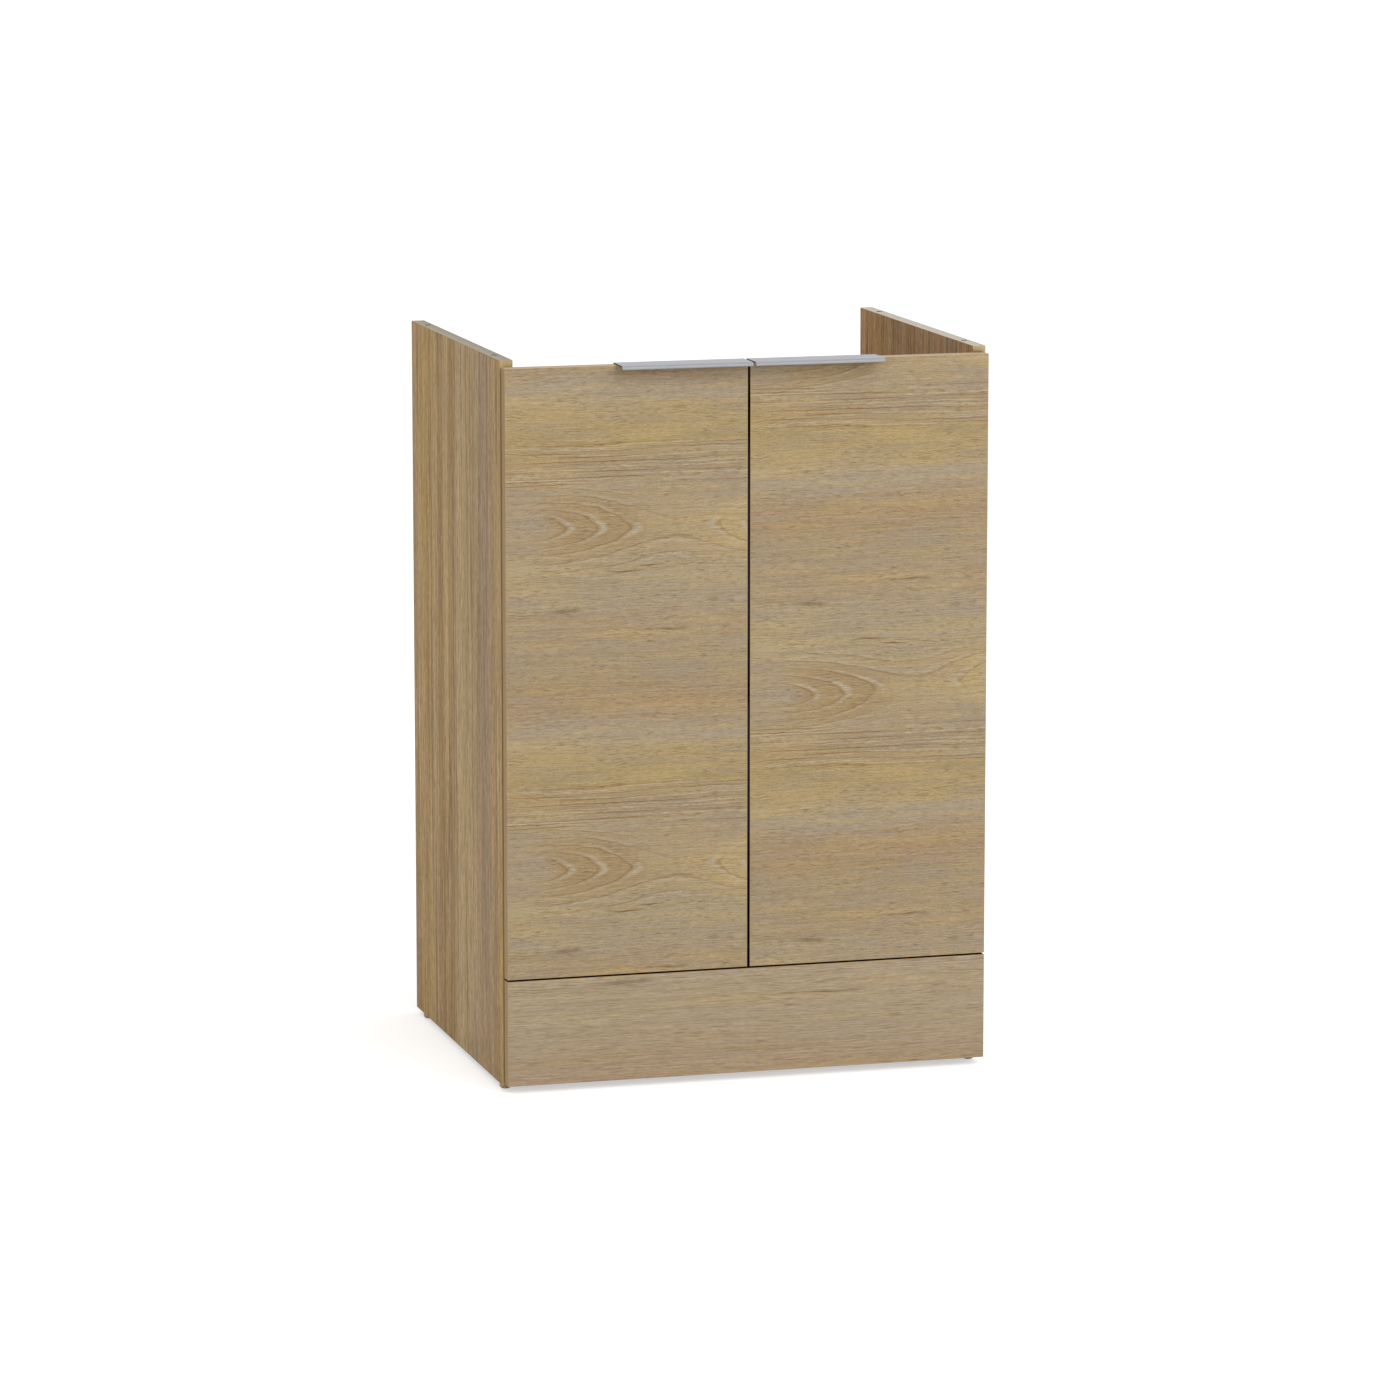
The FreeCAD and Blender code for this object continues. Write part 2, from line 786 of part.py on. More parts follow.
def from_axis(p):
    """A place given from the door's axis, as X and Y in the cabinet for the left door."""
    return (p[0] - axis_x, p[1] + axis_y)


def cup_middle_x():
    """The middle of the left door's cup bores."""
    return cup_edge_distance + cup_bore_radius - door_outer_x


def cup_screw_places():
    """The cup flange's screws on the left door, two for each hinge."""
    places = []
    for z in HINGE_HEIGHTS.values():
        for side in (-1, 1):
            x = cup_middle_x() + cup_screw_offset
            y = door_back_y + cup_flange_thickness
            places.append(Vec(x, y, z + side * cup_screw_spacing / 2))
    return places


def hinge_cup():
    """A pressed cup with its flange, and two ears that carry the links' pins."""
    x = cup_middle_x()
    floor_y = door_back_y - cup_depth
    rim_y = door_back_y + cup_flange_thickness
    back = Vec(0, 1, 0)
    height = cup_depth + cup_flange_thickness
    outside = Part.makeCylinder(cup_radius, height, Vec(x, floor_y, 0), back)
    outside = outside.makeFillet(cup_corner_radius, [outside.Edges[index_of_rim(outside, floor_y)]])
    hollow_radius = cup_radius - cup_wall
    hollow = Part.makeCylinder(
        hollow_radius, height + overrun, Vec(x, floor_y + cup_wall, 0), back
    )
    corner = cup_corner_radius - cup_wall
    rim = index_of_rim(hollow, floor_y + cup_wall)
    hollow = hollow.makeFillet(corner, [hollow.Edges[rim]])
    flange = Part.makeCylinder(cup_flange_radius, cup_flange_thickness, Vec(x, door_back_y, 0), back)
    wing_x = x + cup_screw_offset
    reach = cup_screw_spacing / 2
    wing = capsule(
        (wing_x, -reach), (wing_x, reach), cup_wing_radius, 0, cup_flange_thickness
    )
    wing.rotate(Vec(0, 0, 0), Vec(1, 0, 0), 90)
    wing.translate(Vec(0, rim_y, 0))
    shell = fused([outside, flange, wing]).cut(hollow)
    edge = x - cup_bore_radius
    width = cup_flange_radius
    past_edge = block(edge - width, edge, door_back_y, rim_y + overrun, -width, width)
    notch_width = cup_notch_half_width
    notch_to = edge + cup_radius / 2
    notch = block(
        edge - overrun, notch_to, door_back_y, rim_y + overrun, -notch_width, notch_width
    )
    slot_floor = axis_y + inner_cup_pin[1] - link_eye_radius - cup_slot_clearance
    slot_width = inner_link_half_width + cup_slot_clearance
    slot_to = from_axis(inner_cup_pin)[0]
    slot = block(edge - overrun, slot_to, slot_floor, rim_y, -slot_width, slot_width)
    shell = shell.cut([past_edge, notch, slot])
    ears = [cup_ear(side) for side in (-1, 1)]
    body = fused([shell] + ears)
    holes = []
    for pin in (outer_cup_pin, inner_cup_pin):
        reach_z = cup_ear_inner + cup_ear_thickness
        radius = pin_radius + pin_clearance
        holes.append(post(from_axis(pin), radius, -reach_z, reach_z))
    for place in cup_screw_places()[:2]:
        mouth = Vec(place.x, place.y, place.z - upper_hinge_z)
        depth = cup_flange_thickness + overrun
        holes.append(drill(mouth, Vec(0, -1, 0), small_hole_radius(), depth))
    return body.cut(holes)


def index_of_rim(cylinder, y):
    """The index of a cylinder's round edge that lies flat at y."""
    for index, edge in enumerate(cylinder.Edges):
        box = edge.BoundBox
        if abs(box.YMin - y) < fit_clearance and abs(box.YMax - y) < fit_clearance:
            return index
    raise ValueError("the cylinder has no round edge there")


def cup_ear(side):
    """An ear inside the cup. Its top is rounded about the door's axis, to clear the side."""
    faces = sorted((side * cup_ear_inner, side * (cup_ear_inner + cup_ear_thickness)))
    floor_y = door_back_y - cup_depth + cup_wall / 2
    start, end = cup_middle_x() - cup_radius, cup_ear_reach - axis_x
    sweep = pivot_from_back + door_standoff - cup_ear_sweep_gap
    top = post((-axis_x, axis_y), sweep, *faces)
    slab = block(start, end, axis_y, axis_y + sweep, *faces).common(top)
    skirt = block(start, end, floor_y, axis_y, *faces)
    within = Part.makeCylinder(
        cup_radius, cup_depth + sweep, Vec(cup_middle_x(), floor_y, 0), Vec(0, 1, 0)
    )
    return fused([slab, skirt]).common(within)


def link_travel(cup_pin, arm_pin, turn_share):
    """How far the arm pin wanders in the link as the door swings.

    The link turns about its cup pin, which rides on the door, and turns back by its share of
    the door's turn. Returns the link's angle at rest, the nearest and farthest place of the
    arm pin along it, and the most that the pin leaves its middle line.
    """
    start = math.atan2(arm_pin[1] - cup_pin[1], arm_pin[0] - cup_pin[0])
    along, aside = [], []
    for step in range(swing_steps + 1):
        turn = math.radians(door_swing * step / swing_steps)
        x = cup_pin[0] * math.cos(turn) + cup_pin[1] * math.sin(turn)
        y = cup_pin[1] * math.cos(turn) - cup_pin[0] * math.sin(turn)
        angle = start + turn_share * turn
        dx, dy = arm_pin[0] - x, arm_pin[1] - y
        along.append(dx * math.cos(angle) + dy * math.sin(angle))
        aside.append(abs(dy * math.cos(angle) - dx * math.sin(angle)))
    return start, min(along), max(along), max(aside)


def along_link(cup_pin, angle, distance):
    """A place in the cabinet on the line from a link's cup pin toward its arm pin."""
    x = cup_pin[0] + distance * math.cos(angle)
    y = cup_pin[1] + distance * math.sin(angle)
    return from_axis((x, y))


def slot_half_height(aside):
    """Half the height of the slot in which the arm pin wanders."""
    return pin_radius + aside + link_slot_clearance


def outer_link():
    """The forked link: two cheeks joined by a web, with eyes on the cup pin."""
    angle, near, far, aside = link_travel(outer_cup_pin, outer_arm_pin, outer_link_turn_share)
    eye = from_axis(outer_cup_pin)
    near_at = along_link(outer_cup_pin, angle, near)
    far_at = along_link(outer_cup_pin, angle, far)
    slot = slot_half_height(aside)
    solids = []
    for side in (-1, 1):
        faces = sorted(
            (side * outer_link_inner_z, side * (outer_link_inner_z + outer_link_cheek))
        )
        bar = capsule(eye, near_at, outer_link_half_height, *faces)
        ring = capsule(near_at, far_at, slot + link_slot_wall, *faces)
        solids += [bar, ring, post(eye, link_eye_radius, *faces)]
    web_start = along_link(outer_cup_pin, angle, near * outer_link_web_start_share)
    web_end = along_link(outer_cup_pin, angle, near * outer_link_web_end_share)
    width = outer_link_inner_z + outer_link_cheek / 2
    solids.append(capsule(web_start, web_end, outer_link_web / 2, -width, width))
    body = fused(solids)
    reach = outer_link_inner_z + outer_link_cheek + overrun
    hole = post(eye, pin_radius + pin_clearance, -reach, reach)
    opening = capsule(near_at, far_at, slot, -reach, reach)
    return body.cut([hole, opening])


def inner_link():
    """The narrow link, bent at its knee to pass the side panel's front edge."""
    angle, near, far, aside = link_travel(inner_cup_pin, inner_arm_pin, inner_link_turn_share)
    eye, knee = from_axis(inner_cup_pin), from_axis(inner_link_knee)
    near_at = along_link(inner_cup_pin, angle, near)
    far_at = along_link(inner_cup_pin, angle, far)
    slot = slot_half_height(aside)
    faces = (-inner_link_half_width, inner_link_half_width)
    body = fused(
        [
            post(eye, link_eye_radius, *faces),
            capsule(eye, knee, inner_link_half_height, *faces),
            capsule(knee, near_at, inner_link_half_height, *faces),
            capsule(near_at, far_at, slot + link_slot_wall, *faces),
        ]
    )
    reach = inner_link_half_width + overrun
    hole = post(eye, pin_radius + pin_clearance, -reach, reach)
    return body.cut([hole, capsule(near_at, far_at, slot, -reach, reach)])


def crown_x():
    """The arm's outer face, counted from the side panel it is mounted on."""
    return arm_height - side_inner_x


def hinge_arm():
    """The arm: a channel over its mounting plate, with two cheeks that dip into the cup."""
    first, second = from_axis(outer_arm_pin), from_axis(inner_arm_pin)
    neck = (crown_x() - arm_neck_depth, carcass_front_y + arm_neck_behind)
    solids = [arm_channel()]
    for side in (-1, 1):
        faces = sorted((side * arm_cheek_inner, side * (arm_cheek_inner + arm_wall)))
        solids.append(capsule(first, second, arm_nose_radius, *faces))
        solids.append(capsule(second, neck, arm_neck_radius, *faces))
    width = arm_cheek_inner + arm_wall
    body = fused(solids)
    holes = []
    for pin in (first, second):
        holes.append(post(pin, pin_radius + pin_clearance, -width - overrun, width + overrun))
    for mouth in arm_screw_mouths():
        radius = small_shank_radius + arm_screw_hole_clearance
        holes.append(drill(mouth, Vec(-1, 0, 0), radius, arm_wall + overrun))
    return body.cut(holes)


def arm_channel():
    """The arm's bent channel, open toward the side panel and rounded at its rear end."""
    front_y, rear_y = carcass_front_y + arm_front, carcass_front_y + arm_rear
    low_x, width = arm_underside - side_inner_x, arm_cheek_inner + arm_wall
    outside = block(low_x, crown_x(), front_y, rear_y, -width, width)
    bends = edges_along(outside, Vec(0, 1, 0), lambda p: p.x > low_x + fit_clearance)
    outside = outside.makeFillet(arm_bend_radius, bends)
    inside = block(
        low_x - overrun,
        crown_x() - arm_wall,
        front_y - overrun,
        rear_y + overrun,
        -arm_cheek_inner,
        arm_cheek_inner,
    )
    bends = edges_along(inside, Vec(0, 1, 0), lambda p: p.x > low_x)
    inside = inside.makeFillet(arm_bend_radius - arm_wall, bends)
    rounded = block(low_x, crown_x(), front_y, rear_y, -width, width)
    corners = edges_along(rounded, Vec(0, 0, 1), lambda p: p.y > front_y and p.x < crown_x())
    corners += edges_along(rounded, Vec(1, 0, 0), lambda p: p.y > front_y)
    rounded = rounded.makeFillet(arm_rear_radius, corners)
    return outside.cut(inside).common(rounded)


def edges_along(shape, direction, wanted):
    """The straight edges of a box that run along direction and whose middle is wanted."""
    found = []
    for edge in shape.Edges:
        run = edge.lastVertex().Point - edge.firstVertex().Point
        if run.cross(direction).Length < fit_clearance and wanted(edge.CenterOfMass):
            found.append(edge)
    return found


def arm_screw_mouths():
    """Where the arm's fixing and adjusting screws go through its crown."""
    lines = (arm_fixing_screw_line, arm_adjusting_screw_line)
    return [Vec(crown_x(), carcass_front_y + line, 0) for line in lines]


def mounting_plate():
    """A plate with two screw wings and a boss that the arm is clamped on."""
    face = -side_inner_x
    boss_top = crown_x() - arm_wall
    line_y = carcass_front_y + plate_line
    reach = plate_wing_spacing / 2
    wing = capsule((line_y, -reach), (line_y, reach), plate_wing_radius, 0, plate_wing_thickness)
    wing.rotate(Vec(0, 0, 0), Vec(1, 1, 1), 120)
    wing.translate(Vec(face, 0, 0))
    boss = block(
        face,
        boss_top,
        carcass_front_y + plate_boss_front,
        carcass_front_y + plate_boss_rear,
        -plate_boss_half_width,
        plate_boss_half_width,
    )
    body = fused([wing, boss])
    holes = []
    for side in (-1, 1):
        mouth = Vec(face + plate_wing_thickness, line_y, side * reach)
        radius = plate_shank_radius + 2 * fit_clearance
        holes.append(drill(mouth, Vec(-1, 0, 0), radius, plate_wing_thickness + overrun))
    for mouth in arm_screw_mouths():
        depth = arm_screw_length() + fit_clearance
        holes.append(drill(mouth, Vec(-1, 0, 0), small_pilot_radius(), depth))
    return body.cut(holes)


def arm_screw_length():
    """The arm's screws end inside the plate's boss."""
    return arm_height - arm_wall - plate_wing_thickness


def arm_screws():
    """The fixing and adjusting screws of one hinge arm."""
    body = screw(small_head_radius, small_head_height, small_shank_radius, arm_screw_length())
    return [aimed(body, mouth, Vec(-1, 0, 0)) for mouth in arm_screw_mouths()]


def plate_screw_places():
    """The mounting plates' screws on the left side's inner face, two for each hinge."""
    y = carcass_front_y + plate_line
    places = []
    for z in HINGE_HEIGHTS.values():
        for side in (-1, 1):
            places.append(Vec(-side_inner_x, y, z + side * plate_wing_spacing / 2))
    return places


def plate_screws():
    """The four screws of the left side's mounting plates."""
    length = plate_screw_length - fit_clearance
    body = screw(plate_head_radius, plate_head_height, plate_shank_radius, length)
    step = Vec(plate_wing_thickness, 0, 0)
    return [aimed(body, place + step, Vec(-1, 0, 0)) for place in plate_screw_places()]


def pins(first, second, half_length):
    """Two parallel hinge pins, at height zero."""
    return [post(from_axis(p), pin_radius, -half_length, half_length) for p in (first, second)]


def at_height(shape, z):
    """A copy of a hinge piece, carried up to a hinge's height."""
    lifted = shape.copy()
    lifted.translate(Vec(0, 0, z))
    return lifted


def build_carcass():
    """The sides, the boards between them and what joins them."""
    side = side_panel()
    for name, hand in HANDS.items():
        save(name + "_side_panel", [handed(side, hand)])
    save("bottom_panel", [bottom_panel()])
    save("front_rail", [rail("front_rail", carcass_front_y, front_rail_under_z, front_rail_height)])
    save("upper_back_rail", [upper_back_rail()])
    lower = rail("lower_back_rail", back_rail_front_y, bottom_top_z, lower_back_rail_height)
    save("lower_back_rail", [lower])
    save("shelf", [shelf()])
    save("shelf_pins", [shelf_pin(h, y) for h in HANDS.values() for y in shelf_pin_places()])
    cams, bolts, dowels = [], [], []
    for joints in joints_by_board().values():
        for hand in HANDS.values():
            for y, z in joints["cams"]:
                cams.append(cam_disc(hand, y, z, joints["inward"]))
                bolts.append(cam_bolt(hand, y, z))
            for y, z in joints["dowels"]:
                dowels.append(dowel(hand, y, z))
    save("cam_discs", cams)
    save("cam_bolts", bolts)
    save("joint_dowels", dowels)


def build_base():
    """The plinth, its brackets and the feet."""
    save("plinth_panel", [plinth_panel()])
    bracket = plinth_bracket()
    screws = []
    for name, hand in HANDS.items():
        save(name + "_plinth_bracket", [handed(bracket, hand)])
        screws += [handed(s, hand) for s in bracket_screws()]
    save("plinth_bracket_screws", screws)
    for name, hand in HANDS.items():
        for end, y in zip(("front", "back"), foot_places()):
            save(end + "_" + name + "_foot", [foot(hand, y)])


def build_doors():
    """The doors with their pulls, screws and bumpers."""
    panel, pull = door(), handle()
    for name, hand in HANDS.items():
        save(name + "_door", [handed(panel, hand)])
        save(name + "_handle", [handed(pull, hand)])
        save(name + "_handle_screws", [handed(s, hand) for s in small_screws(handle_screw_places())])
        save(name + "_door_bumpers", [handed(b, hand) for b in door_bumpers()])


def build_hinges():
    """Four concealed hinges, piece by piece."""
    pieces = {
        "hinge_cup": hinge_cup(),
        "outer_link": outer_link(),
        "inner_link": inner_link(),
        "hinge_arm": hinge_arm(),
        "mounting_plate": mounting_plate(),
    }
    cup_pin_reach = cup_ear_inner + cup_ear_thickness
    arm_pin_reach = arm_cheek_inner + arm_wall
    groups = {
        "cup_pins": pins(outer_cup_pin, inner_cup_pin, cup_pin_reach),
        "arm_pins": pins(outer_arm_pin, inner_arm_pin, arm_pin_reach),
        "arm_screws": arm_screws(),
    }
    for name, hand in HANDS.items():
        for level, z in HINGE_HEIGHTS.items():
            for piece, shape in pieces.items():
                save(name + "_" + level + "_" + piece, [handed(at_height(shape, z), hand)])
        for group, shapes in groups.items():
            copies = [at_height(s, z) for z in HINGE_HEIGHTS.values() for s in shapes]
            save(name + "_hinge_" + group, [handed(s, hand) for s in copies])
        save(name + "_cup_screws", [handed(s, hand) for s in small_screws(cup_screw_places())])
        save(name + "_plate_screws", [handed(s, hand) for s in plate_screws()])


os.makedirs("parts", exist_ok=True)
build_carcass()
build_base()
build_doors()
build_hinges()
print("outer box", overall_width, overall_depth, side_top_z)
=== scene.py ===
# %% [markdown]
# # A floor-standing washbasin cabinet
# The cabinet is a flat-pack box of melamine-faced chipboard with two doors, a plinth and folded
# aluminium pulls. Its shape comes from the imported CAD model, which is loaded as a fixed frame.
# This notebook gives the boards their soft edges and edge bands, and every surface its finish.

# %% Load the cabinet
import math
from types import SimpleNamespace

import bpy
from mathutils import Matrix, Vector


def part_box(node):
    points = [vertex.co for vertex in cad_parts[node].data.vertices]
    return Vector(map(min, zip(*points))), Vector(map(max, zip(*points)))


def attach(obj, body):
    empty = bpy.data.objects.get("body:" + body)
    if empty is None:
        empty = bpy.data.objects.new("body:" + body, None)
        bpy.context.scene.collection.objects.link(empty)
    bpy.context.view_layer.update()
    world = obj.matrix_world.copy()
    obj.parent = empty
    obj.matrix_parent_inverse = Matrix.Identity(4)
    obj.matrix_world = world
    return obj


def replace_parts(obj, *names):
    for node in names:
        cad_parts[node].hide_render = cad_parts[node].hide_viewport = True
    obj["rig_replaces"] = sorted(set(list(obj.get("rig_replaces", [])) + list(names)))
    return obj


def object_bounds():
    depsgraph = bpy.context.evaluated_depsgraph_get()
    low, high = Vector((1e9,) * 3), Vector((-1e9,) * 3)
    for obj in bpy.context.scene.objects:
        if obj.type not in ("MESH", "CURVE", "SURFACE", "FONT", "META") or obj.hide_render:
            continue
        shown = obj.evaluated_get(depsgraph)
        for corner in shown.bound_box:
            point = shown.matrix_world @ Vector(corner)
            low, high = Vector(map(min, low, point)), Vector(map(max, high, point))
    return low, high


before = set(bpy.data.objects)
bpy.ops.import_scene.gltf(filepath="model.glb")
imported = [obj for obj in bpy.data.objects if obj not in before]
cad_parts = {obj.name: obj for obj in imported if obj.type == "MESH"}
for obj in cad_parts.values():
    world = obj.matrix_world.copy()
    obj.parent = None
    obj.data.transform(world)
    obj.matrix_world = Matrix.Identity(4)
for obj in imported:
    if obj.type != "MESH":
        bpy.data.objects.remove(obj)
cad_low, cad_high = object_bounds()
MM = 0.001


def in_mm(low, high):
    """A box's two corners in millimetres, to print."""
    return [round(value / MM, 1) for value in (*low, *high)]


print("cabinet box in mm:", in_mm(cad_low, cad_high))

# %% [markdown]
# ## Camera
# The picture was taken from far away with a long lens, from the left and a little above. A long
# lens keeps the upright edges almost parallel, so the lens and the distance belong together.

# %% Set up the camera
CAMERA_PLACE = (-2.01066, -7.17746, 1.69304)
CAMERA_PITCH_DOWN = 0.16806
CAMERA_TURN_RIGHT = 0.27348
LENS_LENGTH = 158.01
FILM_WIDTH = 36.0

camera_data = bpy.data.cameras.new("product_camera")
camera_data.sensor_width = FILM_WIDTH
camera_data.lens = LENS_LENGTH
camera = bpy.data.objects.new("product_camera", camera_data)
camera.location = CAMERA_PLACE
camera.rotation_euler = (math.pi / 2 - CAMERA_PITCH_DOWN, 0, -CAMERA_TURN_RIGHT)
bpy.context.collection.objects.link(camera)
bpy.context.scene.camera = camera
bpy.context.scene.view_settings.view_transform = "Standard"
print("camera is", round(Vector(CAMERA_PLACE).length, 2), "m from the origin")


# %% [markdown]
# ## Small helpers
# Colours are picked as sRGB hex values, as a paint program shows them, but Blender mixes light in
# linear values, so one function turns one into the other. Another adds a shader node with its
# settings and its links, because every finish here is a small tree of nodes.

# %% Colour and node helpers
# Settings that many nodes share: a range with soft ends, and a mix of two colours.
SOFT = {"interpolation_type": "SMOOTHSTEP"}
COLOURS = {"data_type": "RGBA", "out": 2}
# Most values of a noise lie in this range.
NOISE = (0.3, 0.7)


def colour(hex_value):
    """An sRGB hex value as a linear colour with full opacity."""
    channels = [int(hex_value[i:i + 2], 16) / 255 for i in (1, 3, 5)]
    linear = [c / 12.92 if c <= 0.04045 else ((c + 0.055) / 1.055) ** 2.4 for c in channels]
    return (*linear, 1.0)


def add(tree, kind, inputs=None, out=0, **settings):
    """Adds one node, gives it values or links, and returns one of its outputs.

    An input is named by its number where a node has several of one name. A Map Range takes the
    value (0), the range it comes from (1, 2) and the range it goes to (3, 4). A mix of colours
    takes the share (0) of the second colour (7) over the first (6).
    """
    node = tree.nodes.new("ShaderNode" + kind)
    for name, value in settings.items():
        setattr(node, name, value)
    for key, value in (inputs or {}).items():
        if isinstance(value, bpy.types.NodeSocket):
            tree.links.new(value, node.inputs[key])
        else:
            node.inputs[key].default_value = value
    return node.outputs[out] if len(node.outputs) else node


def new_material(name):
    """An empty node material and its tree."""
    material = bpy.data.materials.new(name)
    material.use_nodes = True
    material.node_tree.nodes.clear()
    return material, material.node_tree


print("middle grey as light:", round(colour("#808080")[0], 3))

# %% [markdown]
# ## Studio
# The light is plain: an even white surround and one large soft lamp in front, above and to the
# right, so that the doors are a little brighter than the sides. The floor is white. To the
# camera it is lifted by a little light of its own, so it ends as clean white while the cabinet's
# soft shadow stays.

# %% Floor
FLOOR_LIFT = 0.52
FLOOR_SIZE = 90.0


def looked_at(tree):
    """1 for what the camera sees, also in gloss or through glass, and 0 for bounced light."""
    path = add(tree, "LightPath").node
    seen = add(tree, "Math", {0: path.outputs["Is Camera Ray"], 1: path.outputs["Is Glossy Ray"]})
    return add(tree, "Math", {0: seen, 1: path.outputs["Is Transmission Ray"]}, use_clamp=True)


bpy.ops.object.select_all(action="DESELECT")
bpy.ops.mesh.primitive_plane_add(size=FLOOR_SIZE, location=(0, 0, 0))
floor = bpy.context.active_object
floor.name = "studio_floor"
floor_paint, tree = new_material("white_floor")
lift = add(tree, "Math", {0: looked_at(tree), 1: FLOOR_LIFT}, operation="MULTIPLY")
glow = add(tree, "Emission", {"Color": colour("#FFFFFF"), "Strength": lift})
matt = add(tree, "BsdfDiffuse", {"Color": colour("#F2F2F2")})
add(tree, "OutputMaterial", {"Surface": add(tree, "AddShader", {0: matt, 1: glow})})
floor.data.materials.append(floor_paint)
print("floor:", FLOOR_SIZE, "m wide")

# %% Surround and lamp
SURROUND_STRENGTH = 0.64
LAMP_SIZE = (7.0, 5.0)
LAMP_POWER = 290.0
LAMP_PLACE = Vector((2.6, -6.2, 4.2))
LAMP_AIM = Vector((0, 0, 0.5))

world = bpy.data.worlds.new("studio_surround")
bpy.context.scene.world = world
world.use_nodes = True
tree = world.node_tree
tree.nodes.clear()
strength = add(tree, "Math", {0: looked_at(tree), 1: SURROUND_STRENGTH}, operation="MAXIMUM")
white = add(tree, "Background", {"Color": colour("#FFFFFF"), "Strength": strength})
add(tree, "OutputWorld", {"Surface": white})

lamp_data = bpy.data.lights.new("softbox", "AREA")
lamp_data.shape = "RECTANGLE"
lamp_data.size, lamp_data.size_y = LAMP_SIZE
lamp_data.energy = LAMP_POWER
lamp = bpy.data.objects.new("softbox", lamp_data)
lamp.location = LAMP_PLACE
lamp.rotation_euler = (LAMP_AIM - LAMP_PLACE).to_track_quat("-Z", "Y").to_euler()
bpy.context.collection.objects.link(lamp)
print("one softbox,", round((LAMP_AIM - LAMP_PLACE).length, 1), "m away")

# %% [markdown]
# ## Printed oak decor
# The boards carry a printed oak paper under melamine. The paper is printed from a roller, so the
# picture repeats once per turn. An image could be wrapped on the boards, but the print is easy
# to draw: the place across the grain is wound round a circle as long as one turn, and noise that
# is read there repeats by itself. It also keeps its sharpness at any distance.

# %% The printing roller
ROLLER_REPEAT = 410 * MM
ROLLER_RADIUS = ROLLER_REPEAT / (2 * math.pi)
GRAIN_ROUGHNESS = 0.55


def on_roller(tree, along, across):
    """The place on the roller that printed a point."""
    angle = add(tree, "Math", {0: across, 1: ROLLER_RADIUS}, operation="DIVIDE")
    cosine = add(tree, "Math", {0: angle}, operation="COSINE")
    sine = add(tree, "Math", {0: angle}, operation="SINE")
    circle = add(tree, "CombineXYZ", {1: cosine, 2: sine})
    circle = add(tree, "VectorMath", {0: circle, "Scale": ROLLER_RADIUS}, operation="SCALE")
    line = add(tree, "CombineXYZ", {0: along})
    return add(tree, "VectorMath", {0: circle, 1: line})


def grain(tree, roller, length, width, detail, offset):
    """Noise drawn out along the grain. Each pattern reads it at an offset of its own."""
    stretched = add(tree, "Mapping", {
        "Vector": roller, "Scale": (width / length, 1, 1), "Location": (offset, 0, 0)})
    return add(tree, "TexNoise", {
        "Vector": stretched, "Scale": 1 / width, "Detail": detail, "Roughness": GRAIN_ROUGHNESS})


print("decor repeats every", round(ROLLER_REPEAT / MM), "mm")

# %% [markdown]
# Grown wood is never quite straight, so the print is pushed aside by two slow waves of noise
# before anything is drawn on it. A board then only says which of its directions the grain
# follows, and where on the paper it was cut.

# %% Lay the paper on a board
# Length and width of the waves, and how far they push from one side to the other.
LONG_WAVE = (160 * MM, 30 * MM, 11 * MM)
SHORT_WAVE = (22 * MM, 7 * MM, 2.8 * MM)


def push(tree, roller, wave, offset):
    """How far a wave of noise pushes each point aside."""
    length, width, reach = wave
    noise = grain(tree, roller, length, width, detail=1.0, offset=offset)
    return add(tree, "Math", {0: noise, 1: reach, 2: -reach / 2}, operation="MULTIPLY_ADD")


def lay_paper(tree, axes, paper, flip, shift, stretch):
    """Where each point of a board lies on the paper: along it, across it and on the roller."""
    place = add(tree, "TexCoord", out="Object")
    axis = add(tree, "SeparateXYZ", {0: place}).node.outputs
    along = add(tree, "Math", {0: axis[axes[0]], 1: 1 / stretch, 2: shift[0]},
                operation="MULTIPLY_ADD")
    across = add(tree, "Math", {0: axis[axes[1]], 1: flip, 2: shift[1]}, operation="MULTIPLY_ADD")
    straight = on_roller(tree, along, across)
    pushed = add(tree, "Math", {0: push(tree, straight, LONG_WAVE, offset=0.0),
                                1: push(tree, straight, SHORT_WAVE, offset=3.0)})
    across = add(tree, "Math", {0: across, 1: pushed})
    seam = paper["seam"]
    wrapped = add(tree, "Math", {0: across, 1: seam + ROLLER_REPEAT, 2: seam}, operation="WRAP")
    flat = add(tree, "CombineXYZ", {0: along, 2: wrapped})
    return SimpleNamespace(along=along, wrapped=wrapped, flat=flat,
                           roller=on_roller(tree, along, across))


print("grain waves by up to", (LONG_WAVE[2] + SHORT_WAVE[2]) / MM / 2, "mm")

# %% [markdown]
# ### Tones
# From afar a board shows broad bands, from straw to grey brown. They come from a colour ramp
# across the paper, with patches of noise over it that lean one way or the other.

# %% Broad tones and patches
PATCH_MIDDLE = 0.5
PATCH_LIMITS = (0.7, 0.3)


